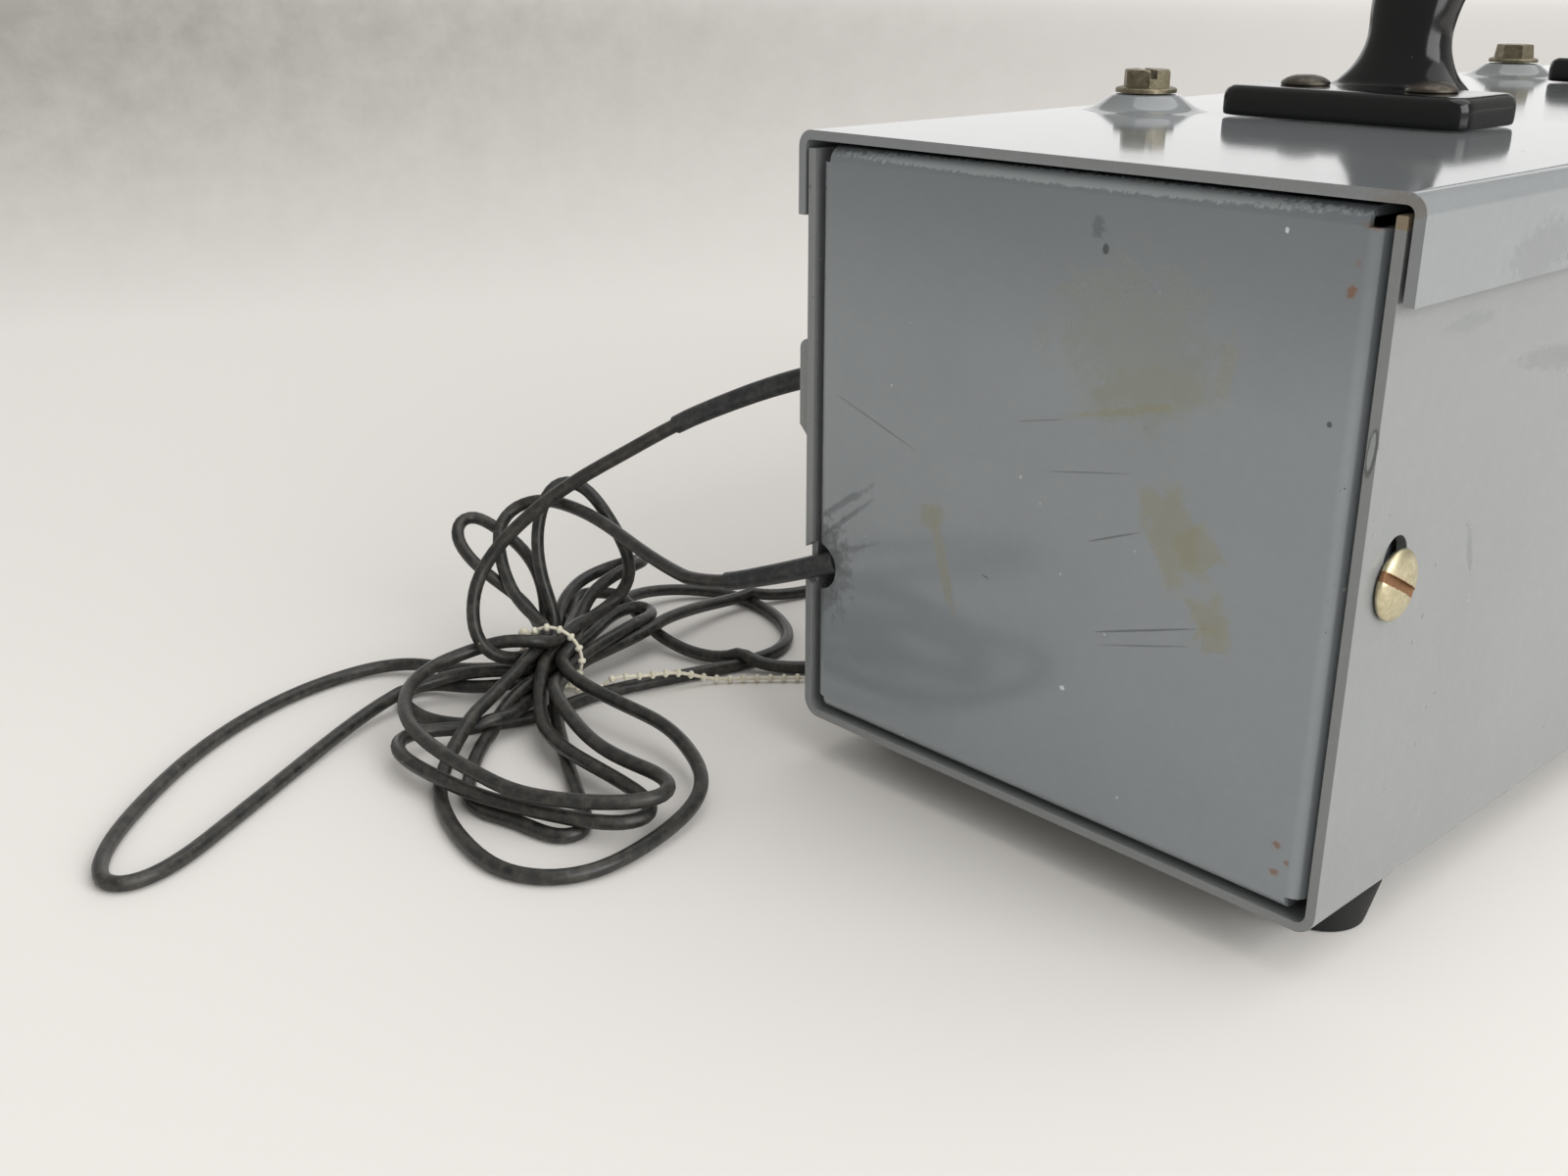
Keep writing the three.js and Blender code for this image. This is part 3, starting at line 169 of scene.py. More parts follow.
@dataclass(frozen=True)
class Mark:
    """A stain, spot or scratch on a flat face, placed on the object's own coordinates."""

    centre: Point
    half_size: Point
    turn: float
    colour: str
    strength: float
    about: Axis = Axis.Y
    ragged: float = 0.35
    grain: float = 2.0
    square: bool = False
    roughness: float = 0.6


@dataclass(frozen=True)
class Finish:
    """A surface: a common material, its colour and how it was made."""

    name: str
    colour: str
    second_colour: str
    roughness: float
    metallic: float = 0.0
    ior: float = 1.5
    mottle: float = 6.0
    mottle_share: float = 0.35
    grain: float = 0.6
    relief: float = 0.02
    gloss_change: float = 0.08
    dust: str = ""
    dust_share: float = 0.0
    stretch: Point = (1.0, 1.0, 1.0)
    marks: tuple[Mark, ...] = ()
    pits: str = ""
    pit_cell: float = 1.5
    pit_share: float = 0.5
    # Painted shade: axis, start, end, shade colour and strength of a darkening along one axis.
    painted_shade: tuple[int, float, float, str, float] | None = None

    def material(self) -> bpy.types.Material:
        """Builds the node tree once.

        Returns:
            The finish's material.
        """
        made = bpy.data.materials.get(self.name)
        if made is not None:
            return made
        made = bpy.data.materials.new(self.name)
        made.use_nodes = True
        tree = made.node_tree
        tree.nodes.clear()
        place = add_node(tree, "ShaderNodeTexCoord").outputs["Object"]
        stretched = add_node(
            tree, "ShaderNodeMapping", {"Vector": place}, {"Scale": self.stretch}
        ).outputs["Vector"]
        colour, rough = self._ground(tree, stretched)
        colour, rough = self._dust(tree, place, colour, rough)
        colour = self._add_painted_shade(tree, place, colour)
        colour = self._pits(tree, place, colour)
        for mark in self.marks:
            colour, rough = self._mark(tree, place, mark, colour, rough)
        grain = add_node(
            tree,
            "ShaderNodeTexNoise",
            {"Vector": stretched},
            {"Scale": 1 / (self.grain * MM), "Detail": 3.0, "Roughness": 0.55},
        ).outputs["Fac"]
        relief = add_node(
            tree,
            "ShaderNodeBump",
            {"Height": grain},
            {"Strength": 0.6, "Distance": self.relief * MM},
        ).outputs["Normal"]
        shader = add_node(
            tree,
            "ShaderNodeBsdfPrincipled",
            {"Base Color": colour, "Roughness": rough, "Normal": relief},
            {"Metallic": self.metallic, "IOR": self.ior},
        )
        add_node(tree, "ShaderNodeOutputMaterial", {"Surface": shader.outputs["BSDF"]})
        return made

    def _ground(self, tree: bpy.types.NodeTree, place: Socket) -> tuple[Socket, Socket]:
        """Gives the ground colour and roughness with soft mottling.

        Args:
            tree: The material's node tree.
            place: The object's own coordinates.

        Returns:
            The colour and the roughness.
        """
        cloud = add_node(
            tree,
            "ShaderNodeTexNoise",
            {"Vector": place},
            {"Scale": 1 / (self.mottle * MM), "Detail": 4.0, "Roughness": 0.6},
        ).outputs["Fac"]
        share = ranged(tree, cloud, (0.35, 0.7), (0.0, self.mottle_share))
        colour = add_node(
            tree,
            "ShaderNodeMix",
            {0: share},
            {6: linear(self.colour), 7: linear(self.second_colour)},
            data_type="RGBA",
        ).outputs[2]
        rough = ranged(tree, cloud, (0.3, 0.75), (self.roughness, self.roughness + self.gloss_change))
        return colour, rough

    def _dust(
        self, tree: bpy.types.NodeTree, place: Socket, colour: Socket, rough: Socket
    ) -> tuple[Socket, Socket]:
        """Scatters fine pale specks and a thin film of dust.

        Args:
            tree: The material's node tree.
            place: The object's own coordinates.
            colour: The colour so far.
            rough: The roughness so far.

        Returns:
            The new colour and roughness.
        """
        if not self.dust:
            return colour, rough
        cells = add_node(
            tree, "ShaderNodeTexVoronoi", {"Vector": place}, {"Scale": 1 / (5.5 * MM), "Randomness": 1.0}
        )
        keep = add_node(tree, "ShaderNodeSeparateColor", {"Color": cells.outputs["Color"]}).outputs["Red"]
        size = ranged(tree, keep, (0.55, 1.0), (0.0, 0.075))
        speck = add_node(
            tree,
            "ShaderNodeMath",
            {0: size, 1: cells.outputs["Distance"]},
            operation="GREATER_THAN",
        ).outputs["Value"]
        film = add_node(
            tree,
            "ShaderNodeTexNoise",
            {"Vector": place},
            {"Scale": 1 / (2.4 * MM), "Detail": 6.0, "Roughness": 0.7},
        ).outputs["Fac"]
        thin = ranged(tree, film, (0.45, 0.85), (0.0, self.dust_share))
        share = add_node(
            tree,
            "ShaderNodeMath",
            {0: speck, 2: thin},
            {1: 0.35 + self.dust_share},
            operation="MULTIPLY_ADD",
            use_clamp=True,
        ).outputs["Value"]
        dusty = add_node(
            tree,
            "ShaderNodeMix",
            {0: share, 6: colour},
            {7: linear(self.dust)},
            data_type="RGBA",
        ).outputs[2]
        duller = add_node(
            tree,
            "ShaderNodeMath",
            {0: share, 2: rough},
            {1: 0.4},
            operation="MULTIPLY_ADD",
            use_clamp=True,
        ).outputs["Value"]
        return dusty, duller

    def _add_painted_shade(self, tree: bpy.types.NodeTree, place: Socket, colour: Socket) -> Socket:
        """Paints shade: darkens the colour little by little along one axis.

        Args:
            tree: The material's node tree.
            place: The object's own coordinates.
            colour: The colour so far.

        Returns:
            The new colour.
        """
        if self.painted_shade is None:
            return colour
        axis, start, end, shade_colour, strength = self.painted_shade
        along = add_node(tree, "ShaderNodeSeparateXYZ", {"Vector": place}).outputs[axis]
        share = ranged(tree, along, (start * MM, end * MM), (0.0, strength), smooth=True)
        return add_node(
            tree, "ShaderNodeMix", {0: share, 6: colour}, {7: linear(shade_colour)}, data_type="RGBA"
        ).outputs[2]

    def _pits(self, tree: bpy.types.NodeTree, place: Socket, colour: Socket) -> Socket:
        """Peppers the finish with fine dark pinholes, thick in some places and thin in others.

        Args:
            tree: The material's node tree.
            place: The object's own coordinates.
            colour: The colour so far.

        Returns:
            The new colour.
        """
        if not self.pits:
            return colour
        cells = add_node(
            tree,
            "ShaderNodeTexVoronoi",
            {"Vector": place},
            {"Scale": 1 / (self.pit_cell * MM), "Randomness": 1.0},
        )
        chosen = add_node(tree, "ShaderNodeSeparateColor", {"Color": cells.outputs["Color"]}).outputs["Green"]
        crowd = add_node(
            tree,
            "ShaderNodeTexNoise",
            {"Vector": place},
            {"Scale": 1 / (42 * MM), "Detail": 2.0},
        ).outputs["Fac"]
        picked = add_node(
            tree, "ShaderNodeMath", {0: chosen, 1: crowd}, operation="MULTIPLY"
        ).outputs["Value"]
        size = ranged(tree, picked, (0.38, 0.7), (0.0, 0.26))
        pit = add_node(
            tree, "ShaderNodeMath", {0: size, 1: cells.outputs["Distance"]}, operation="GREATER_THAN"
        ).outputs["Value"]
        share = add_node(
            tree, "ShaderNodeMath", {0: pit}, {1: self.pit_share}, operation="MULTIPLY"
        ).outputs["Value"]
        return add_node(
            tree, "ShaderNodeMix", {0: share, 6: colour}, {7: linear(self.pits)}, data_type="RGBA"
        ).outputs[2]

    def _mark(
        self, tree: bpy.types.NodeTree, place: Socket, mark: Mark, colour: Socket, rough: Socket
    ) -> tuple[Socket, Socket]:
        """Lays one stain, spot or scratch over the finish.

        Args:
            tree: The material's node tree.
            place: The object's own coordinates.
            mark: What it looks like and where it is.
            colour: The colour so far.
            rough: The roughness so far.

        Returns:
            The new colour and roughness.
        """
        wander = add_node(
            tree,
            "ShaderNodeTexNoise",
            {"Vector": place},
            {"Scale": 1 / (mark.grain * MM), "Detail": 5.0, "Roughness": 0.65},
        )
        local = add_node(
            tree,
            "ShaderNodeMapping",
            {"Vector": place},
            {
                "Location": [c * MM for c in mark.centre],
                "Rotation": lifted(mark.about, 0.0, 0.0, math.radians(mark.turn)),
                "Scale": [s * MM for s in mark.half_size],
            },
            vector_type="TEXTURE",
        ).outputs["Vector"]
        if mark.square:
            absolute = add_node(tree, "ShaderNodeVectorMath", {0: local}, operation="ABSOLUTE").outputs[0]
            split = add_node(tree, "ShaderNodeSeparateXYZ", {"Vector": absolute}).outputs
            flat = add_node(
                tree, "ShaderNodeMath", {0: split[0], 1: split[2]}, operation="MAXIMUM"
            ).outputs[0]
            away = add_node(tree, "ShaderNodeMath", {0: flat, 1: split[1]}, operation="MAXIMUM").outputs[0]
        else:
            away = add_node(tree, "ShaderNodeVectorMath", {0: local}, operation="LENGTH").outputs["Value"]
        ragged = add_node(
            tree,
            "ShaderNodeMath",
            {0: wander.outputs["Fac"], 2: away},
            {1: 2 * mark.ragged},
            operation="MULTIPLY_ADD",
        ).outputs["Value"]
        edge = (1.0 + 1.1 * mark.ragged, 1.0 + 0.6 * mark.ragged)
        share = ranged(tree, ragged, edge, (0.0, mark.strength), smooth=True)
        mixed = add_node(
            tree,
            "ShaderNodeMix",
            {0: share, 6: colour},
            {7: linear(mark.colour)},
            data_type="RGBA",
        ).outputs[2]
        duller = add_node(
            tree,
            "ShaderNodeMix",
            {0: share, 2: rough},
            {3: mark.roughness},
            data_type="FLOAT",
        ).outputs[0]
        return mixed, duller


# ------------------------------------------------------------------ finishes


OLIVE = "8e8c70"
HAZE = "868b80"
RUST = "7f5b40"
SCRATCH = "59605f"
FACE = -189.5
WALL = 63.5


def on_panel(
    x: float, z: float, half_x: float, half_z: float, turn: float, colour: str, strength: float,
    ragged: float = 0.5, grain: float = 2.4, square: bool = False,
) -> Mark:
    """A mark on the front end panel's face.

    Args:
        x: Middle, to the right.
        z: Middle, upwards.
        half_x: Half width.
        half_z: Half height.
        turn: Angle in degrees.
        colour: Six hex digits.
        strength: Share of the finish that it hides.
        ragged: How uneven its edge is.
        grain: Size of that unevenness.
        square: Whether it is a rectangle.

    Returns:
        The mark.
    """
    return Mark((x, FACE, z), (half_x, 6, half_z), turn, colour, strength, Axis.Y, ragged, grain, square)


def on_wall(
    y: float, z: float, half_y: float, half_z: float, turn: float, colour: str, strength: float,
    ragged: float = 0.9, grain: float = 1.6,
) -> Mark:
    """A mark on the right-hand side of the case.

    Args:
        y: Middle, along the case.
        z: Middle, upwards.
        half_y: Half length.
        half_z: Half height.
        turn: Angle in degrees.
        colour: Six hex digits.
        strength: Share of the finish that it hides.
        ragged: How uneven its edge is.
        grain: Size of that unevenness.

    Returns:
        The mark.
    """
    return Mark((WALL, y, z), (5, half_y, half_z), turn, colour, strength, Axis.X, ragged, grain)


FRONT_MARKS = (
    on_panel(28.0, 75.0, 5.0, 9.6, -25, OLIVE, 0.5, 0.8, 3.4, True),
    on_panel(33.4, 73.4, 4.2, 4.0, -38, OLIVE, 0.5, 0.45, 2.0, True),
    on_panel(36.6, 62.2, 4.0, 3.8, -24, OLIVE, 0.5, 0.9, 3.0, True),
    on_panel(38.6, 58.4, 3.0, 3.0, -12, OLIVE, 0.45, 0.9, 2.6, True),
    on_panel(17, 107, 19, 15, 10, HAZE, 0.42, 1.1, 3.6),
    on_panel(21, 99, 14, 5, -14, OLIVE, 0.26, 0.9, 2.4),
    on_panel(16, 94.6, 13, 0.8, -15, OLIVE, 0.5, 0.9, 1.8),
    on_panel(35.6, 105, 1.6, 6.5, 8, OLIVE, 0.3, 0.9, 2.0),
    on_panel(-27.4, 64.8, 3.6, 2.8, -30, OLIVE, 0.42, 0.7, 2.0),
    on_panel(-24.2, 56, 1.5, 11, -17, OLIVE, 0.42, 0.7, 2.2),
    on_panel(56, 121, 0.95, 1.2, 20, RUST, 0.85, 1.3, 0.6),
    on_panel(56.6, 125.4, 0.7, 0.7, 0, RUST, 0.3, 1.3, 0.6),
    on_panel(58, 131.0, 1.7, 0.6, 12, RUST, 0.45, 1.3, 0.7),
    on_panel(54.8, 24.9, 0.9, 0.7, 10, RUST, 0.8, 1.2, 0.6),
    on_panel(57, 22.3, 0.6, 0.6, 0, RUST, 0.7, 1.2, 0.5),
    on_panel(54.9, 19.7, 1.1, 0.7, -10, RUST, 0.8, 1.2, 0.6),
    on_panel(-59, 47, 9, 12, 0, "3d4042", 0.6, 1.2, 2.4),
    on_panel(-52, 62, 9, 0.9, -34, "50565a", 0.5, 1.0, 1.4),
    on_panel(-52, 58, 10, 0.7, -38, "50565a", 0.5, 1.0, 1.2),
    on_panel(-50, 52, 9, 0.7, -24, "50565a", 0.45, 1.0, 1.2),
    on_panel(16, 71.5, 6.5, 0.2, -22, SCRATCH, 0.7, 0.4, 3.0),
    on_panel(24.5, 56, 13, 0.22, -18, SCRATCH, 0.75, 0.4, 3.0),
    on_panel(24.5, 53, 10, 0.18, -16, SCRATCH, 0.6, 0.4, 3.0),
    on_panel(9, 82, 10, 0.16, -11, SCRATCH, 0.5, 0.5, 3.0),
    on_panel(-2, 89.5, 6, 0.16, -13, SCRATCH, 0.5, 0.5, 3.0),
    on_panel(-43.5, 81, 13, 0.18, 18, SCRATCH, 0.6, 0.4, 3.0),
    on_panel(10, 122, 0.7, 1.0, 0, "35393b", 0.8, 0.5, 0.6),
    on_panel(8, 125.5, 1.4, 2.2, 0, "4c5255", 0.5, 1.1, 0.9),
    on_panel(55, 100, 0.5, 0.5, 0, "35393b", 0.8, 0.3, 0.6),
    on_panel(44, 129, 0.4, 0.5, 0, "dfe3e3", 0.85, 0.7, 0.4),
    on_panel(7, 39, 0.6, 0.5, 0, "dfe3e3", 0.8, 0.4, 0.6),
    on_panel(-13, 56, 1.0, 0.16, 12, "33383a", 0.8, 0.4, 2.0),
    # A pale band along the panel's top bend: partly worn paint, partly a painted highlight on the bend.
    on_panel(0, 132.9, 60, 1.3, 0, "b3babb", 0.5, 0.7, 0.9),
)

WALL_MARKS = (
    on_wall(-129, 103, 16, 2.4, -6, "6a6d6d", 0.3),
    on_wall(-100, 99, 26, 3.6, -4, "6a6d6d", 0.22),
    on_wall(-60, 88, 40, 5.0, -8, "747776", 0.2),
    on_wall(-20, 60, 22, 1.4, -10, "6b6e6e", 0.25),
    on_wall(-151, 72, 1.1, 5.5, 20, "63676a", 0.35, 0.8, 1.2),
    on_wall(-164, 114, 9, 1.6, 0, "74787a", 0.3),
    on_wall(-189, 132.6, 1.8, 1.8, 0, "87775c", 0.85, 0.4, 1.0),
    # A dent in the wrap's right front edge: painted shade (the dark oval) with a painted highlight (the pale
    # middle).
    Mark((62.6, FACE, 97), (0.9, 1.5, 4.2), 4, "4a4d4e", 0.7, Axis.Y, 0.35, 1.0),
    Mark((62.5, FACE, 97.2), (0.5, 1.8, 3.2), 4, "9aa0a0", 0.9, Axis.Y, 0.3, 1.0),
)

LID_MARKS = (
    Mark((62, FACE, 134.6), (5, 1.0, 2.2), 0, "7a6a5a", 0.35, Axis.Y, 1.0, 0.8),
    Mark((20, FACE, 136), (44, 1.0, 1.2), 0, "7b7a76", 0.15, Axis.Y, 0.9, 1.2),
    Mark((66, -147, 124), (3, 14, 5), 8, "6a6d6d", 0.35, Axis.X, 1.0, 1.4),
    Mark((66, -120, 122), (3, 22, 3), 4, "6a6d6d", 0.25, Axis.X, 1.0, 1.2),
)

SCREW_MARKS = (
    Mark((66, -178.6, 72.9), (3.0, 0.95, 7.5), 62, "8a5a35", 0.85, Axis.X, 0.35, 0.9, True),
)


@dataclass(frozen=True)
class Palette:
    """Every finish of the unit, each named for the real material."""

    # Stoved blue-grey enamel over steel sheet: even and glossy, a little orange-peeled, dust in it.
    enamel: Finish = Finish(
        "stoved_enamel_on_steel", "848787", "7e8181", 0.22, ior=1.58, mottle=38, mottle_share=0.5,
        grain=2.4, relief=0.01, gloss_change=0.05, dust="c9cdc9", dust_share=0.05, marks=WALL_MARKS,
        pits="4d5254", pit_cell=2.4, pit_share=0.4,
    )
    # The same enamel on the end panel, with adhesive left by old tape, rust pinholes and grime; painted shade
    # darkens its upper part.
    panel: Finish = Finish(
        "stoved_enamel_worn_panel", "8e9498", "878d91", 0.1, ior=1.62, mottle=30, mottle_share=0.6,
        grain=2.6, relief=0.004, gloss_change=0.04, dust="c9cdcb", dust_share=0.05, marks=FRONT_MARKS,
        # Painted shade: the panel darkens towards its top edge.
        painted_shade=(2, 96, 132, "5f666b", 0.55),
        pits="3c4245", pit_cell=1.5, pit_share=0.75,
    )
    # The same enamel on the lid, chipped to rust along its cut front edge.
    lid: Finish = Finish(
        "stoved_enamel_on_lid", "84888a", "7e8284", 0.06, ior=1.62, mottle=40, mottle_share=0.5,
        grain=2.6, relief=0.006, gloss_change=0.04, dust="c9cdc9", dust_share=0.05, marks=LID_MARKS,
        pits="5a5f61", pit_cell=2.6, pit_share=0.4,
    )
    # Compression-moulded phenolic for the handle: near black, deep gloss, hairline scuffs.
    handle: Finish = Finish(
        "moulded_black_phenolic", "040506", "07090b", 0.1, ior=1.46, mottle=9, mottle_share=0.5,
        grain=1.4, relief=0.006, gloss_change=0.1, dust="77797a", dust_share=0.004,
    )
    # Injection-moulded ABS of the inlet and the plugs: satin black.
    abs_plastic: Finish = Finish(
        "moulded_black_abs", "17181a", "202224", 0.38, ior=1.53, mottle=5, grain=0.35, relief=0.015,
        dust="77787a", dust_share=0.04,
    )
    # Natural rubber of the feet: matte, greyed where it has been handled.
    rubber: Finish = Finish(
        "moulded_rubber", "101011", "1a1a1a", 0.7, ior=1.5, mottle=4, grain=0.5, relief=0.05,
        dust="6c6a66", dust_share=0.02,
    )
    # Soft PVC sleeve over each lead: satin, scuffed grey by handling.
    sleeve: Finish = Finish(
        "soft_pvc_sleeve", "16181b", "292c2e", 0.36, ior=1.52, mottle=2.6, mottle_share=0.8, grain=0.4,
        relief=0.04, gloss_change=0.2, dust="98958d", dust_share=0.22,
    )
    # Aged PVC lead jacket: dusty black-grey with a dull sheen.
    jacket: Finish = Finish(
        "aged_pvc_lead_jacket", "17191b", "2e2d29", 0.3, ior=1.52, mottle=3.2, mottle_share=0.9, grain=0.45,
        relief=0.04, gloss_change=0.2, dust="8a826f", dust_share=0.3,
    )
    # Yellow-passivated zinc on the bolts: olive brass tone, dulled in patches.
    zinc: Finish = Finish(
        "yellow_passivated_zinc", "938c77", "6b6450", 0.36, metallic=1.0, mottle=1.6, mottle_share=0.9,
        grain=0.3, relief=0.03, gloss_change=0.25,
    )
    # Blackened bronze finish of the handle screws.
    bronze: Finish = Finish(
        "blackened_bronze", "5d5850", "454038", 0.33, metallic=1.0, mottle=1.4, mottle_share=0.8, grain=0.3,
        relief=0.03, gloss_change=0.2,
    )
    # Nickel-brass of the side screws: pale gold, rubbed, fine turning marks.
    brass: Finish = Finish(
        "pale_nickel_brass", "d2c9aa", "a89f7c", 0.28, metallic=1.0, marks=SCREW_MARKS,
        mottle=1.5, mottle_share=0.7, grain=0.25, relief=0.03, gloss_change=0.2,
    )
    # Cold-rolled steel: satin, faint rolling lines along the unit.
    steel: Finish = Finish(
        "cold_rolled_steel", "8c8e90", "6f7173", 0.32, metallic=1.0, mottle=6, mottle_share=0.5, grain=0.6,
        relief=0.02, gloss_change=0.15, stretch=(1.0, 0.2, 1.0),
    )
    # Sand-cast aluminium: pale, rough and grainy.
    cast: Finish = Finish(
        "sand_cast_aluminium", "a3a5a7", "86888a", 0.55, metallic=1.0, mottle=4, mottle_share=0.6, grain=0.7,
        relief=0.12, gloss_change=0.1,
    )
    # Enamelled copper wire, wound in layers 0.8 mm apart.
    copper: Finish = Finish(
        "enamelled_copper_wire", "a35f35", "6e3a1e", 0.35, metallic=1.0, mottle=0.8, mottle_share=0.9,
        grain=0.8, relief=0.2, gloss_change=0.1, stretch=(1.0, 4.0, 1.0),
    )
    # Paper-filled phenolic board and gear: brown, dull, faint cloth grain.
    phenolic: Finish = Finish(
        "paper_phenolic", "4b2f1d", "38210f", 0.5, ior=1.6, mottle=3, mottle_share=0.6, grain=0.4,
        relief=0.03,
    )
    # Moulded nylon of the cam and the tie: off-white, waxy.
    nylon: Finish = Finish(
        "natural_nylon", "d6d1bf", "bdb59c", 0.45, ior=1.53, mottle=2.5, mottle_share=0.6, grain=0.5,
        relief=0.03,
        dust="8f8a7d", dust_share=0.12,
    )
    # Yellowed clear nylon of the beaded tie, a little grubby.
    tie: Finish = Finish(
        "yellowed_nylon_tie", "efead8", "d3cbae", 0.42, ior=1.53, mottle=1.8, mottle_share=0.7, grain=0.4,
        relief=0.02, dust="918b7a", dust_share=0.15,
    )


PALETTE = Palette()

CAD_FINISHES: dict[str, Finish] = {
    Slot.ENAMEL.value: PALETTE.enamel,
    Slot.BLACK_PLASTIC.value: PALETTE.abs_plastic,
    Slot.RUBBER.value: PALETTE.rubber,
    Slot.ZINC.value: PALETTE.zinc,
    Slot.BRASS.value: PALETTE.brass,
    Slot.STEEL.value: PALETTE.steel,
    Slot.CAST.value: PALETTE.cast,
    Slot.COPPER.value: PALETTE.copper,
    Slot.PHENOLIC.value: PALETTE.phenolic,
    Slot.NYLON.value: PALETTE.nylon,
    Slot.JACKET.value: PALETTE.jacket,
}


# ------------------------------------------------------------------ mesh making


def new_piece(name: str, mesh: bpy.types.Mesh) -> bpy.types.Object:
    """Links a mesh to the scene under a name, at the origin.

    Args:
        name: The new object's name.
        mesh: Its mesh.

    Returns:
        The new object.
    """
    piece = bpy.data.objects.new(name, mesh)
    bpy.context.scene.collection.objects.link(piece)
    return piece


def closed_mesh(name: str, build: Callable[[bmesh.types.BMesh], None]) -> bpy.types.Object:
    """Builds a closed mesh, welds it and points its faces outwards.

    Args:
        name: The new object's name.
        build: Fills an empty bmesh, in millimetres.

    Returns:
        The object, in metres.
    """
    shape = bmesh.new()
    build(shape)
    bmesh.ops.remove_doubles(shape, verts=shape.verts, dist=1e-4)
    bmesh.ops.recalc_face_normals(shape, faces=shape.faces)
    bmesh.ops.scale(shape, vec=(MM, MM, MM), verts=shape.verts)
    mesh = bpy.data.meshes.new(name)
    shape.to_mesh(mesh)
    shape.free()
    return new_piece(name, mesh)


def lifted(axis: Axis, a: float, b: float, along: float) -> Point:
    """Puts an outline's two numbers and a distance along the axis in X, Y, Z order.

    Args:
        axis: The axis that the outline stands across.
        a: First number of the outline.
        b: Second number.
        along: Distance along the axis.

    Returns:
        The three coordinates.
    """
    if axis is Axis.X:
        return (along, a, b)
    if axis is Axis.Y:
        return (a, along, b)
    return (a, b, along)


def prism(name: str, outline: Outline, axis: Axis, start: float, end: float) -> bpy.types.Object:
    """Runs a flat outline along an axis.

    Args:
        name: The new object's name.
        outline: Corners in the two other axes, in X, Y, Z order, in millimetres.
        axis: The axis that it runs along.
        start: Where it starts on that axis.
        end: Where it ends.

    Returns:
        The closed prism.
    """

    def build(shape: bmesh.types.BMesh) -> None:
        """Adds the two ends and the walls between them.

        Args:
            shape: The empty bmesh.
        """
        low = [shape.verts.new(lifted(axis, a, b, start)) for a, b in outline]
        high = [shape.verts.new(lifted(axis, a, b, end)) for a, b in outline]
        shape.faces.new(low)
        shape.faces.new(high[::-1])
        for i in range(len(outline)):
            j = (i + 1) % len(outline)
            shape.faces.new((low[i], high[i], high[j], low[j]))

    return closed_mesh(name, build)


def turned(name: str, profile: Outline, axis: Axis, centre: Point, sides: int = 48) -> bpy.types.Object:
    """Turns a profile of (radius, distance along the axis) into a closed round piece.

    Args:
        name: The new object's name.
        profile: From one end of the axis to the other.
        axis: The axis that it turns about.
        centre: Where the profile starts from.
        sides: Sides of the round.

    Returns:
        The closed piece.
    """

    def build(shape: bmesh.types.BMesh) -> None:
        """Adds a ring for each point of the profile, joined to the last.

        Args:
            shape: The empty bmesh.
        """
        rings = []
        for radius, along in profile:
            count = 1 if radius == 0 else sides
            ring = []
            for i in range(count):
                angle = 2 * math.pi * i / sides
                place = lifted(axis, radius * math.cos(angle), radius * math.sin(angle), along)
                ring.append(shape.verts.new([p + c for p, c in zip(place, centre)]))
            rings.append(ring)
        for low, high in zip(rings, rings[1:]):
            for i in range(sides):
                corners = [ring[(i + step) % len(ring)] for ring, step in
                           ((low, 0), (low, 1), (high, 1), (high, 0))]
                kept = list(dict.fromkeys(corners))
                if len(kept) > 2:
                    shape.faces.new(kept)

    return closed_mesh(name, build)


def arc(a: float, b: float, radius: float, start: float, end: float, steps: int = 8) -> Outline:
    """Points round part of a circle, angles in degrees."""
    angles = [math.radians(start + (end - start) * i / steps) for i in range(steps + 1)]
    return [(a + radius * math.cos(t), b + radius * math.sin(t)) for t in angles]


def rounded_rectangle(a0: float, a1: float, b0: float, b1: float, radius: float, steps: int = 8) -> Outline:
    """A rectangle's outline with round corners.

    Args:
        a0: Lower limit of the first number.
        a1: Upper limit of the first number.
        b0: Lower limit of the second.
        b1: Upper limit of the second.
        radius: Of the corners.
        steps: Points on each corner.

    Returns:
        The closed outline.
    """
    return [
        *arc(a1 - radius, b0 + radius, radius, -90, 0, steps),
        *arc(a1 - radius, b1 - radius, radius, 0, 90, steps),
        *arc(a0 + radius, b1 - radius, radius, 90, 180, steps),
        *arc(a0 + radius, b0 + radius, radius, 180, 270, steps),
    ]


def shaped(piece: bpy.types.Object, kind: str, **settings: object) -> bpy.types.Object:
    """Applies one modifier to a piece and returns it.

    Args:
        piece: The piece whose mesh changes.
        kind: Blender's name for the modifier.
        **settings: The modifier's attributes.

    Returns:
        The same piece, with the modifier's result as its mesh.
    """
    modifier = piece.modifiers.new("shape", kind)
    for name, value in settings.items():
        setattr(modifier, name, value)
    settled = bpy.data.meshes.new_from_object(
        piece.evaluated_get(bpy.context.evaluated_depsgraph_get())
    )
    piece.modifiers.clear()
    old = piece.data
    piece.data = settled
    bpy.data.meshes.remove(old)
    return piece


def cut(piece: bpy.types.Object, *cutters: bpy.types.Object) -> bpy.types.Object:
    """Takes the cutters out of a piece and removes them."""
    return _combined(piece, cutters, "DIFFERENCE")


def joined(piece: bpy.types.Object, *others: bpy.types.Object) -> bpy.types.Object:
    """Welds other solids to a piece and removes them."""
    return _combined(piece, others, "UNION")


def _combined(piece: bpy.types.Object, others: Sequence[bpy.types.Object], how: str) -> bpy.types.Object:
    """Runs one exact boolean after another.

    Args:
        piece: The piece that stays.
        others: Solids that are used up.
        how: Blender's name for the operation.

    Returns:
        The same piece.
    """
    for other in others:
        shaped(piece, "BOOLEAN", operation=how, object=other, solver="EXACT")
        bpy.data.objects.remove(other)
    return piece


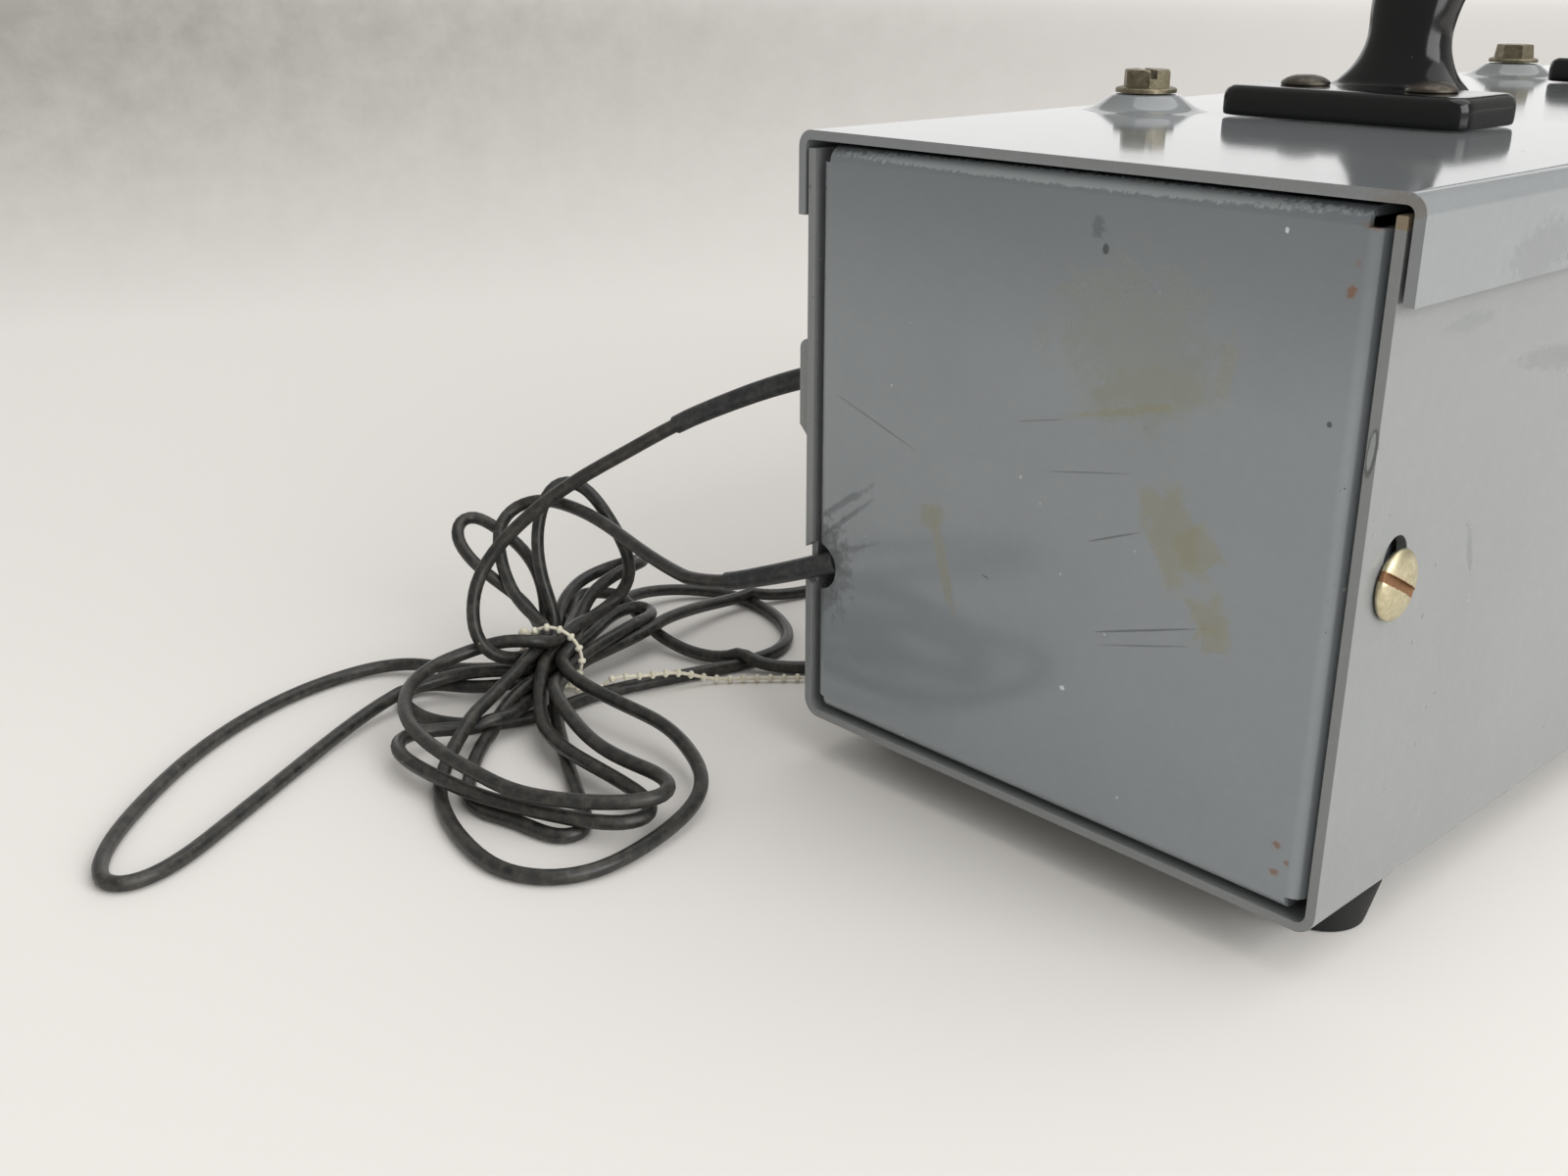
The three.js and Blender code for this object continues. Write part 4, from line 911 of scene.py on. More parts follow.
def eased(piece: bpy.types.Object, width: float, segments: int = 2, angle: float = 35) -> bpy.types.Object:
    """Rounds a piece's sharp edges by a width in millimetres.

    Args:
        piece: The piece whose edges are rounded.
        width: Width of the rounding.
        segments: Steps across it.
        angle: Edges that turn by less than this many degrees stay.

    Returns:
        The same piece.
    """
    return shaped(
        piece,
        "BEVEL",
        width=width * MM,
        segments=segments,
        limit_method="ANGLE",
        angle_limit=math.radians(angle),
        harden_normals=False,
        use_clamp_overlap=True,
    )


def smoothed(piece: bpy.types.Object, angle: float = 32) -> bpy.types.Object:
    """Shades a piece smoothly, its broad faces kept flat.

    Args:
        piece: The piece to shade.
        angle: Edges that turn by more than this many degrees stay sharp.

    Returns:
        The same piece.
    """
    piece.data.polygons.foreach_set("use_smooth", [True] * len(piece.data.polygons))
    piece.data.set_sharp_from_angle(angle=math.radians(angle))
    return shaped(piece, "WEIGHTED_NORMAL", mode="FACE_AREA", weight=100, keep_sharp=True)


def finished(
    piece: bpy.types.Object,
    finish: Finish,
    body: str = "case",
    stands_for: Iterable[str] = (),
) -> bpy.types.Object:
    """Gives a piece its finish, its body and the CAD nodes that it stands for.

    Args:
        piece: The finished mesh or curve.
        finish: What it is made of.
        body: The CAD body that it rides on.
        stands_for: CAD nodes that it replaces.

    Returns:
        The same piece.
    """
    piece.data.materials.clear()
    piece.data.materials.append(finish.material())
    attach(piece, body)
    names = list(stands_for)
    if names:
        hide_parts(*names)
    LOG.info("%s rides on %s", piece.name, body)
    return piece


def limits(node: str) -> tuple[Vector, Vector]:
    """A CAD node's lowest and highest corners in millimetres."""
    low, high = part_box(node)
    return low / MM, high / MM


def middle(node: str) -> Vector:
    """The middle of a CAD node's box in millimetres."""
    low, high = limits(node)
    return (low + high) / 2


# ------------------------------------------------------------------ geometry nodes


def node_tree(
    name: str, inputs: dict[str, tuple[str, float | None]]
) -> tuple[bpy.types.NodeTree, bpy.types.Node]:
    """Starts a geometry tree with named inputs.

    Args:
        name: The tree's name.
        inputs: Input name to its socket type and starting value.

    Returns:
        The tree and its group input node.
    """
    tree = bpy.data.node_groups.new(name, "GeometryNodeTree")
    tree.interface.new_socket("Geometry", in_out="INPUT", socket_type="NodeSocketGeometry")
    for label, (kind, start) in inputs.items():
        socket = tree.interface.new_socket(label, in_out="INPUT", socket_type=kind)
        if start is not None:
            socket.default_value = start
    tree.interface.new_socket("Geometry", in_out="OUTPUT", socket_type="NodeSocketGeometry")
    return tree, add_node(tree, "NodeGroupInput")


def grown(name: str, mesh: bpy.types.Mesh, tree: bpy.types.NodeTree, values: dict) -> bpy.types.Object:
    """Runs a geometry tree on a mesh and keeps the plain result.

    Args:
        name: The new piece's name.
        mesh: What the tree starts from.
        tree: The tree.
        values: Input name to the value that it gets.

    Returns:
        A piece that holds the realised mesh, with no modifier.
    """
    seed = new_piece(name + "_seed", mesh)
    modifier = seed.modifiers.new("grow", "NODES")
    modifier.node_group = tree
    for item in tree.interface.items_tree:
        if item.in_out == "INPUT" and item.name in values:
            modifier[item.identifier] = values[item.name]
    plain = bpy.data.meshes.new_from_object(
        seed.evaluated_get(bpy.context.evaluated_depsgraph_get())
    )
    bpy.data.objects.remove(seed)
    return new_piece(name, plain)


def copies_tree() -> bpy.types.NodeTree:
    """Puts a copy of an object on each point, turned by the point's own angles.

    Returns:
        The geometry tree.
    """
    tree, start = node_tree(
        "placed_copies",
        {"Pattern": ("NodeSocketObject", None), "Finish": ("NodeSocketMaterial", None)},
    )
    pattern = add_node(tree, "GeometryNodeObjectInfo", {"Object": start.outputs["Pattern"]})
    turn = add_node(
        tree, "GeometryNodeInputNamedAttribute", values={"Name": "turn"}, data_type="FLOAT_VECTOR"
    )
    copies = add_node(
        tree,
        "GeometryNodeInstanceOnPoints",
        {
            "Points": start.outputs["Geometry"],
            "Instance": pattern.outputs["Geometry"],
            "Rotation": turn.outputs[0],
        },
    )
    real = add_node(tree, "GeometryNodeRealizeInstances", {"Geometry": copies.outputs["Instances"]})
    dressed = add_node(
        tree,
        "GeometryNodeSetMaterial",
        {"Geometry": real.outputs["Geometry"], "Material": start.outputs["Finish"]},
    )
    add_node(tree, "NodeGroupOutput", {"Geometry": dressed.outputs["Geometry"]})
    return tree


def placed_copies(
    name: str, pattern: bpy.types.Object, places: Sequence[Point], turns: Sequence[Point], finish: Finish
) -> bpy.types.Object:
    """Copies a pattern piece to several places.

    Args:
        name: The new piece's name.
        pattern: A piece about the origin; it is removed.
        places: Where the copies go, in millimetres.
        turns: Each copy's angles about X, Y and Z, in degrees.
        finish: What they are made of.

    Returns:
        One piece that holds them all.
    """
    mesh = bpy.data.meshes.new(name + "_places")
    mesh.from_pydata([[c * MM for c in place] for place in places], [], [])
    angles = mesh.attributes.new("turn", "FLOAT_VECTOR", "POINT")
    for item, turn in zip(angles.data, turns):
        item.vector = [math.radians(t) for t in turn]
    tree = bpy.data.node_groups.get("placed_copies") or copies_tree()
    piece = grown(name, mesh, tree, {"Pattern": pattern, "Finish": finish.material()})
    bpy.data.objects.remove(pattern)
    return piece


def beaded_tree() -> bpy.types.NodeTree:
    """A thin strand with barrel-shaped beads at an even spacing along a line.

    Returns:
        The geometry tree.
    """
    tree, start = node_tree(
        "beaded_strand",
        {
            "Strand Radius": ("NodeSocketFloat", 0.0005),
            "Bead Radius": ("NodeSocketFloat", 0.001),
            "Bead Spacing": ("NodeSocketFloat", 0.004),
            "Bead Length": ("NodeSocketFloat", 1.5),
            "Finish": ("NodeSocketMaterial", None),
        },
    )
    line = add_node(tree, "GeometryNodeMeshToCurve", {"Mesh": start.outputs["Geometry"]})
    round_section = add_node(
        tree,
        "GeometryNodeCurvePrimitiveCircle",
        {"Radius": start.outputs["Strand Radius"]},
        {"Resolution": 8},
    )
    strand = add_node(
        tree,
        "GeometryNodeCurveToMesh",
        {"Curve": line.outputs["Curve"], "Profile Curve": round_section.outputs["Curve"]},
        {"Fill Caps": True},
    )
    spots = add_node(
        tree,
        "GeometryNodeCurveToPoints",
        {"Curve": line.outputs["Curve"], "Length": start.outputs["Bead Spacing"]},
        mode="LENGTH",
    )
    bead = add_node(
        tree,
        "GeometryNodeMeshUVSphere",
        {"Radius": start.outputs["Bead Radius"]},
        {"Segments": 12, "Rings": 8},
    )
    size = add_node(tree, "ShaderNodeCombineXYZ", {"Z": start.outputs["Bead Length"]}, {"X": 1.0, "Y": 1.0})
    beads = add_node(
        tree,
        "GeometryNodeInstanceOnPoints",
        {
            "Points": spots.outputs["Points"],
            "Instance": bead.outputs["Mesh"],
            "Rotation": spots.outputs["Rotation"],
            "Scale": size.outputs["Vector"],
        },
    )
    both = add_node(tree, "GeometryNodeJoinGeometry")
    tree.links.new(beads.outputs["Instances"], both.inputs["Geometry"])
    tree.links.new(strand.outputs["Mesh"], both.inputs["Geometry"])
    real = add_node(tree, "GeometryNodeRealizeInstances", {"Geometry": both.outputs["Geometry"]})
    dressed = add_node(
        tree,
        "GeometryNodeSetMaterial",
        {"Geometry": real.outputs["Geometry"], "Material": start.outputs["Finish"]},
    )
    add_node(tree, "NodeGroupOutput", {"Geometry": dressed.outputs["Geometry"]})
    return tree


# ------------------------------------------------------------------ camera, light and floor


@dataclass
class Studio:
    """The viewpoint, a pale sweep of paper and soft light."""

    camera_place: Point = (181.7, -425.1, 168.1)
    azimuth: float = 46.93
    elevation: float = 20.7
    roll: float = 0.17
    lens: float = 38.17
    floor_size: float = 40000.0
    floor_colour: str = "ebe8e4"
    far_shade_colour: str = "a9a69f"

    def build(self) -> None:
        """Makes the camera, the lights, the world and the floor."""
        self._camera()
        self._lights()
        self._floor()

    def _camera(self) -> None:
        """Places the camera at its azimuth, elevation and roll."""
        a, e, r = (math.radians(v) for v in (self.azimuth, self.elevation, self.roll))
        back = Vector((math.sin(a) * math.cos(e), -math.cos(a) * math.cos(e), math.sin(e)))
        right = Vector((math.cos(a), math.sin(a), 0.0))
        up = back.cross(right)
        right_rolled = right * math.cos(r) + up * math.sin(r)
        up_rolled = up * math.cos(r) - right * math.sin(r)
        data = bpy.data.cameras.new("viewpoint")
        data.lens = self.lens
        data.sensor_width = 36.0
        data.clip_start = 0.01
        camera = bpy.data.objects.new("viewpoint", data)
        turn = Matrix((right_rolled, up_rolled, back)).transposed().to_4x4()
        camera.matrix_world = Matrix.Translation(Vector(self.camera_place) * MM) @ turn
        bpy.context.scene.collection.objects.link(camera)
        bpy.context.scene.camera = camera

    def _lights(self) -> None:
        """Hangs large soft lamps and sets a pale surround."""
        self._lamp("right_softbox", (1.5, -0.1, 0.75), (0.05, -0.05, 0.06), (1.6, 1.2), 23.0)
        self._lamp("back_softbox", (-7.4, 8.1, 2.5), (0.0, -0.05, 0.12), (17.0, 4.9), 195.0)
        data = bpy.data.lights.new("ceiling", "SUN")
        data.energy = 1.15
        data.angle = math.radians(70)
        ceiling = bpy.data.objects.new("ceiling", data)
        ceiling.rotation_euler = Vector((-0.25, -0.35, -1.0)).to_track_quat("-Z", "Y").to_euler()
        bpy.context.scene.collection.objects.link(ceiling)
        world = bpy.data.worlds.new("surround")
        bpy.context.scene.world = world
        world.use_nodes = True
        ground = world.node_tree.nodes["Background"]
        ground.inputs["Color"].default_value = linear("f6f4f0")
        ground.inputs["Strength"].default_value = 0.45
        bpy.context.scene.view_settings.view_transform = "Standard"

    def _lamp(self, name: str, place: Point, target: Point, size: tuple[float, float], power: float) -> None:
        """Adds one area lamp that faces a point, all in metres.

        Args:
            name: The lamp's name.
            place: Its middle.
            target: The point that it faces.
            size: Width and height.
            power: In watts.
        """
        data = bpy.data.lights.new(name, "AREA")
        data.shape = "RECTANGLE"
        data.size, data.size_y = size
        data.energy = power
        lamp = bpy.data.objects.new(name, data)
        lamp.location = place
        lamp.rotation_euler = (Vector(target) - Vector(place)).to_track_quat("-Z", "Y").to_euler()
        bpy.context.scene.collection.objects.link(lamp)

    def _floor(self) -> None:
        """Lays the paper just under the feet."""
        half = self.floor_size / 2
        mesh = bpy.data.meshes.new("paper_sweep")
        corners = [(-half, -half), (half, -half), (half, half), (-half, half)]
        mesh.from_pydata([(x * MM, y * MM, -0.00002) for x, y in corners], [], [(0, 1, 2, 3)])
        floor = new_piece("paper_sweep", mesh)
        mesh.materials.append(self._paper())

    def _paper(self) -> bpy.types.Material:
        """Matte paper, cloudy, with painted shade where it runs back, most of all to the left.

        Returns:
            The paper's material.
        """
        made = bpy.data.materials.new("matte_paper")
        made.use_nodes = True
        tree = made.node_tree
        tree.nodes.clear()
        place = add_node(tree, "ShaderNodeTexCoord").outputs["Object"]
        x, y, _ = self.camera_place
        from_here = add_node(
            tree, "ShaderNodeVectorMath", {0: place}, {1: (x * MM, y * MM, 0.0)}, operation="SUBTRACT"
        ).outputs[0]
        away = add_node(tree, "ShaderNodeVectorMath", {0: from_here}, operation="LENGTH").outputs["Value"]
        nearness = add_node(tree, "ShaderNodeMath", {1: away}, {0: 1.0}, operation="DIVIDE").outputs[0]
        facing = add_node(tree, "ShaderNodeVectorMath", {0: from_here}, operation="NORMALIZE").outputs[0]
        turn = math.radians(self.azimuth)
        aside = add_node(
            tree,
            "ShaderNodeVectorMath",
            {0: facing},
            {1: (math.cos(turn), math.sin(turn), 0.0)},
            operation="DOT_PRODUCT",
        ).outputs["Value"]
        # Painted shade: the paper darkens with distance from the camera's place and towards the left, broken
        # up by cloudy blotches.
        far = ranged(tree, nearness, (1.15, 0.12), (0.0, 1.0))
        left = ranged(tree, aside, (0.3, -0.36), (0.0, 1.0))
        spread = add_node(tree, "ShaderNodeCombineXYZ", {"X": aside, "Y": nearness}).outputs["Vector"]
        sheet = add_node(
            tree, "ShaderNodeMapping", {"Vector": spread}, {"Scale": (1.0, 0.16, 1.0)}
        ).outputs["Vector"]
        cloud = add_node(
            tree, "ShaderNodeTexNoise", {"Vector": sheet}, {"Scale": 46.0, "Detail": 5.0, "Roughness": 0.7}
        ).outputs["Fac"]
        blotch = ranged(tree, cloud, (0.3, 0.7), (0.78, 1.14))
        depth = add_node(tree, "ShaderNodeMath", {0: far, 1: left}, operation="MULTIPLY").outputs[0]
        shade = add_node(
            tree, "ShaderNodeMath", {0: depth, 1: blotch}, operation="MULTIPLY", use_clamp=True
        ).outputs[0]
        colour = add_node(
            tree,
            "ShaderNodeMix",
            {0: shade},
            {6: linear(self.floor_colour), 7: linear(self.far_shade_colour)},
            data_type="RGBA",
        ).outputs[2]
        fibre = add_node(
            tree, "ShaderNodeTexNoise", {"Vector": place}, {"Scale": 900.0, "Detail": 3.0}
        ).outputs["Fac"]
        relief = add_node(
            tree, "ShaderNodeBump", {"Height": fibre}, {"Strength": 0.4, "Distance": 0.02 * MM}
        ).outputs["Normal"]
        shader = add_node(
            tree,
            "ShaderNodeBsdfPrincipled",
            {"Base Color": colour, "Normal": relief},
            {"Roughness": 0.8, "IOR": 1.45, "Specular IOR Level": 0.3},
        )
        add_node(tree, "ShaderNodeOutputMaterial", {"Surface": shader.outputs["BSDF"]})
        return made


# ------------------------------------------------------------------ case


def channel(half_width: float, level: float, rise: float, bend: float, steps: int = 10) -> Outline:
    """The section of a bent sheet: a web and two legs that rise or hang from it.

    Args:
        half_width: From the middle to a leg's outer face.
        level: Height of the web's outer face.
        rise: Length of the legs, negative where they hang.
        bend: Outer radius of the bends.
        steps: Points on each bend.

    Returns:
        The closed outline in X and Z.
    """
    sign = 1 if rise > 0 else -1
    inner = bend - SHEET
    half = [
        (half_width - SHEET, level + rise),
        (half_width, level + rise),
        *[(x, level + sign * z) for x, z in arc(half_width - bend, bend, bend, 0, -90, steps)],
    ]
    hollow = [(x, level + sign * z) for x, z in arc(half_width - bend, bend, inner, -90, 0, steps)]
    left = [(-x, z) for x, z in reversed(half)]
    left_hollow = [(-x, z) for x, z in reversed(hollow)]
    return [*half, *left, *left_hollow, *hollow]


@dataclass
class Case:
    """The bent wrap, its lid with bosses, both end panels and the lead outlet."""

    bend: float = 4.0
    lid_bend: float = 3.4
    notch_radius: float = 5.2
    notch_depth: float = 1.9
    notch: tuple[float, float] = (-59.5, 46.0)
    slot_width: float = 7.4
    slot_rise: float = 4.6
    panel_bend: float = 3.0
    panel_sheet: float = 1.6
    relief: float = 3.0
    boss_base: float = 14.2
    boss_top: float = 7.4
    boss_height: float = 3.5

    def build(self) -> None:
        """Makes every sheet-metal piece."""
        self._wrap()
        self._lid()
        self._end_panel("front_panel", -1, PALETTE.panel)
        self._end_panel("rear_panel", 1, PALETTE.enamel)
        self._outlet()

    def _wrap(self) -> None:
        """Bends the floor and side walls, slotted for the side screws and notched for a lead."""
        low, high = limits("case_wrap")
        section = channel(high.x, low.z, high.z - low.z, self.bend)
        wrap = prism("case_shell", section, Axis.Y, low.y, high.y)
        cutters = [self._notch_cutter(low.y - 1, low.y + self.notch_depth)]
        half = self.slot_width / 2
        for end in ("front", "rear"):
            for side in ("left", "right"):
                at = self._screw_middle(end, side)
                top = at.z + self.slot_rise + half
                outline = rounded_rectangle(at.y - half, at.y + half, at.z - half, top, half - 0.01)
                x = high.x if side == "right" else low.x
                cutters.append(prism("slot", outline, Axis.X, x - 2 * SHEET, x + 2 * SHEET))
        sleeve = middle("lead_outlet")
        hole = [(0, -8), (2.6, -8), (2.6, 8), (0, 8)]
        cutters.append(turned("hole", hole, Axis.X, (low.x, sleeve.y, sleeve.z), 24))
        cut(wrap, *cutters)
        smoothed(eased(wrap, 0.28))
        finished(wrap, PALETTE.enamel, stands_for=["case_wrap"])

    def _screw_middle(self, end: str, side: str) -> Vector:
        """The middle of one side screw."""
        return middle(f"side_screw_{end}_{side}")

    def _notch_cutter(self, start: float, end: float) -> bpy.types.Object:
        """The round hole at the front edge that the lower lead leaves by.

        Args:
            start: Where it starts on Y.
            end: Where it ends.

        Returns:
            The cutter.
        """
        x, z = self.notch
        radius = self.notch_radius
        return turned("notch", [(0, start), (radius, start), (radius, end), (0, end)], Axis.Y, (x, 0, z), 40)

    def _lid(self) -> None:
        """Bends the lid and presses up its bosses."""
        low, high = limits("lid")
        top = high.z - self.boss_height
        lid = prism("lid_cover", channel(high.x, top, low.z - top, self.lid_bend), Axis.Y, low.y, high.y)
        for name in ("front", "rear", "side"):
            at = middle(f"lid_bolt_{name}")
            base, crown, rise = self.boss_base, self.boss_top, self.boss_height
            profile = [
                (0, -1), (base, -1), (base, 0.02), (base - 1.4, 0.22), (base - 2.8, 0.75),
                (base - 4.2, 1.55), (base - 5.4, 2.4), (base - 6.3, 3.05), (crown, rise - 0.12),
                (crown - 0.7, rise), (0, rise),
            ]
            joined(lid, turned("boss", profile, Axis.Z, (at.x, at.y, top), 64))
        smoothed(eased(lid, 0.22), 34)
        finished(lid, PALETTE.lid, stands_for=["lid"])

    def _end_panel(self, node: str, facing: int, finish: Finish) -> None:
        """Folds a tray whose four edges turn inwards, its corners left open.

        Args:
            node: The CAD panel that it stands for.
            facing: -1 at the front, 1 at the rear.
            finish: What it is painted with.
        """
        low, high = limits(node)
        face, inner = (low.y, high.y) if facing < 0 else (high.y, low.y)
        bend, wall, relief = self.panel_bend, self.panel_sheet, self.relief
        tray = prism("tray", [(low.x, low.z), (high.x, low.z), (high.x, high.z), (low.x, high.z)], Axis.Y,
                     min(face, inner), max(face, inner))
        tray.name = node + "_sheet"
        self._round_face(tray, face, bend)
        back = inner - facing * 1.0
        start, end = sorted((face - facing * wall, back))
        inside = rounded_rectangle(low.x + wall, high.x - wall, low.z + wall, high.z - wall, 0.5, 2)
        hollow = prism("hollow", inside, Axis.Y, start, end)
        cutters = [hollow]
        for x in (low.x, high.x):
            for z in (low.z, high.z):
                near = [(x - relief, z - relief), (x + relief, z - relief),
                        (x + relief, z + relief), (x - relief, z + relief)]
                cutters.append(prism("relief", near, Axis.Y, low.y - 1, high.y + 1))
        if facing < 0:
            cutters.append(self._notch_cutter(face - 1, inner + 1))
        else:
            shaft = middle("output_shaft")
            bore = [(0, -9), (9, -9), (9, 9), (0, 9)]
            cutters.append(turned("bore", bore, Axis.Y, (shaft.x, face, shaft.z), 48))
            inlet_low, inlet_high = limits("mains_inlet")
            opening = rounded_rectangle(
                inlet_low.x + 3, inlet_high.x - 3, inlet_low.z + 3, inlet_high.z - 3, 1.0, 4
            )
            cutters.append(prism("inlet", opening, Axis.Y, face - 9, face + 9))
        cut(tray, *cutters)
        smoothed(eased(tray, 0.2), 30)
        finished(tray, finish, stands_for=[node])

    def _round_face(self, tray: bpy.types.Object, face: float, bend: float) -> None:
        """Rounds the four edges of a tray's outer face.

        Args:
            tray: The tray.
            face: Where its outer face lies on Y.
            bend: Outer radius of the bends.
        """
        shape = bmesh.new()
        shape.from_mesh(tray.data)
        near = [e for e in shape.edges if all(abs(v.co.y - face * MM) < 1e-6 for v in e.verts)]
        bmesh.ops.bevel(shape, geom=near, offset=bend * MM, segments=6, profile=0.5, affect="EDGES")
        shape.to_mesh(tray.data)
        shape.free()

    def _outlet(self) -> None:
        """The small plate on the left wall that the upper lead leaves by."""
        low, high = limits("lead_outlet")
        corner = 2.2
        outline = [
            (high.x, low.z),
            (high.x, high.z),
            *arc(low.x + corner, high.z - corner, corner, 90, 180, 6),
            (low.x, low.z + corner),
            (low.x + corner, low.z),
        ]
        plate = prism("lead_outlet_plate", outline, Axis.Y, low.y, high.y)
        at = middle("lead_outlet")
        cut(plate, turned("hole", [(0, -8), (2.6, -8), (2.6, 8), (0, 8)], Axis.X, (at.x, at.y, at.z), 32))
        smoothed(eased(plate, 0.3))
        finished(plate, PALETTE.enamel, stands_for=["lead_outlet"])


# ------------------------------------------------------------------ fittings


@dataclass
class Fittings:
    """Feet, screws and bolts that show on the outside."""

    side_head: float = 6.2
    side_rise: float = 2.5
    bolt_flange: float = 6.8
    bolt_corner: float = 5.5
    bolt_height: float = 4.9
    handle_head: float = 5.2
    handle_rise: float = 1.8

    def build(self) -> None:
        """Makes each kind of fitting."""
        self._feet()
        self._side_screws()
        self._bolts()
        self._handle_screws()

    def _feet(self) -> None:
        """Four tapered rubber feet, each with its screw well."""
        names = [f"foot_{end}_{side}" for end in ("front", "rear") for side in ("left", "right")]
        low, high = limits(names[0])
        top, base, rise = (high.x - low.x) / 2, 8.9, high.z - low.z
        profile = [(0, 3.2), (3.6, 3.2), (3.8, 0.4), (4.4, 0), (base - 0.9, 0),
                   (base - 0.2, 0.3), (base, 1.0), (top, rise - 0.8), (top - 0.4, rise), (0, rise)]
        places = [(middle(n).x, middle(n).y, low.z) for n in names]
        feet = placed_copies("rubber_feet", turned("foot", profile, Axis.Z, (0, 0, 0), 40), places,
                             [(0, 0, 0)] * 4, PALETTE.rubber)
        finished(smoothed(feet, 40), PALETTE.rubber, stands_for=names)

    def _side_screws(self) -> None:
        """Domed slotted screws through the wall slots."""
        names = [f"side_screw_{end}_{side}" for end in ("front", "rear") for side in ("left", "right")]
        radius, rise = self.side_head, self.side_rise
        profile = [(0, -7), (3, -7), (3, 0.3), (radius - 0.2, 0.3), (radius, 0.6), (radius, 0.95)]
        dome = np.radians([15, 30, 45, 60, 75])
        profile += [(radius * math.cos(t), 0.95 + (rise - 0.95) * math.sin(t)) for t in dome]
        profile += [(0, rise)]
        screw = turned("side_screw", profile, Axis.X, (0, 0, 0), 48)
        slot = prism("slot", [(-0.8, -8), (0.8, -8), (0.8, 8), (-0.8, 8)], Axis.X, rise - 1.2, rise + 1)
        cut(screw, slot)
        smoothed(eased(screw, 0.12), 30)
        wall = limits("case_wrap")[1].x
        places, turns = [], []
        for name in names:
            at = middle(name)
            side = 1 if at.x > 0 else -1
            places.append((side * wall, at.y, at.z))
            turns.append((62 if side > 0 else 25, 0, 0 if side > 0 else 180))
        screws = placed_copies("side_screws", screw, places, turns, PALETTE.brass)
        finished(smoothed(screws, 30), PALETTE.brass, stands_for=names)

    def _bolts(self) -> None:
        """Flanged hexagon bolts through the lid bosses, two of them slotted."""
        for name, slotted, turn in (("front", True, 12), ("rear", False, 20), ("side", True, 40)):
            node = f"lid_bolt_{name}"
            at, top = middle(node), limits(node)[1].z
            seat = top - self.bolt_height
            corner = self.bolt_corner
            crown = corner if slotted else corner - 0.5
            rim = self.bolt_flange
            profile = [(0, -4), (3, -4), (3, 0), (rim, 0), (rim, 0.75), (rim - 0.25, 1.0),
                       (corner + 0.2, 1.25), (0, 1.25)]
            flange = turned("washer_face", profile, Axis.Z, (at.x, at.y, seat), 48)
            head = self._hex_head(corner, crown, turn, at, seat)
            joined(flange, head)
            if slotted:
                blade = prism("blade", [(-9, -0.85), (9, -0.85), (9, 0.85), (-9, 0.85)], Axis.Z,
                              self.bolt_height - 1.9, self.bolt_height + 2)
                blade.data.transform(Matrix.Translation(Vector((at.x, at.y, seat)) * MM)
                                     @ Matrix.Rotation(math.radians(turn - 50), 4, "Z"))
                cut(flange, blade)
            flange.name = f"lid_bolt_{name}_head"
            smoothed(eased(flange, 0.15), 30)
            finished(flange, PALETTE.zinc, stands_for=[node])

    def _hex_head(
        self, corner: float, crown: float, turn: float, at: Vector, seat: float
    ) -> bpy.types.Object:
        """A hexagon whose top corners are turned off.

        Args:
            corner: Radius at the corners.
            crown: The same at the top.
            turn: Angle in degrees.
            at: Middle of the bolt.
            seat: Height of its underside.

        Returns:
            The head.
        """
        angles = [math.radians(60 * i + turn) for i in range(6)]

        def build(shape: bmesh.types.BMesh) -> None:
            """Adds the six sides, the base and the top.

            Args:
                shape: The empty bmesh.
            """
            rings = []
            for radius, z in ((corner, 0.9), (crown, self.bolt_height)):
                rings.append([
                    shape.verts.new((at.x + radius * math.cos(t), at.y + radius * math.sin(t), seat + z))
                    for t in angles
                ])
            shape.faces.new(rings[0])
            shape.faces.new(rings[1])
            for i in range(6):
                j = (i + 1) % 6
                shape.faces.new((rings[0][i], rings[0][j], rings[1][j], rings[1][i]))

        head = closed_mesh("hexagon", build)
        limit = turned("chamfer", [(0, 0), (corner + 1, 0), (corner + 1, self.bolt_height - 1.2),
                                   (corner - 0.75, self.bolt_height), (0, self.bolt_height)], Axis.Z,
                       (at.x, at.y, seat), 48)
        return _combined(head, [limit], "INTERSECT")

    def _handle_screws(self) -> None:
        """Low domed heads on the handle's ears."""
        names = [f"handle_screw_{end}_{side}" for end in ("front", "rear") for side in ("left", "right")]
        low, high = limits(names[0])
        rise = self.handle_rise
        radius = self.handle_head
        profile = [(0, -3), (2, -3), (2, -0.2), (radius - 0.1, -0.2), (radius, 0.15), (radius - 0.3, 0.6),
                   (radius - 1.1, 1.1), (radius - 2.1, 1.5), (radius - 3.0, rise - 0.08),
                   (1.0, rise), (0, rise)]
        places = [(middle(n).x, middle(n).y, high.z - rise) for n in names]
        screws = placed_copies("handle_screws", turned("domed_screw", profile, Axis.Z, (0, 0, 0), 48), places,
                               [(0, 0, 0)] * 4, PALETTE.bronze)
        finished(smoothed(screws, 50), PALETTE.bronze, stands_for=names)


# ------------------------------------------------------------------ carry handle


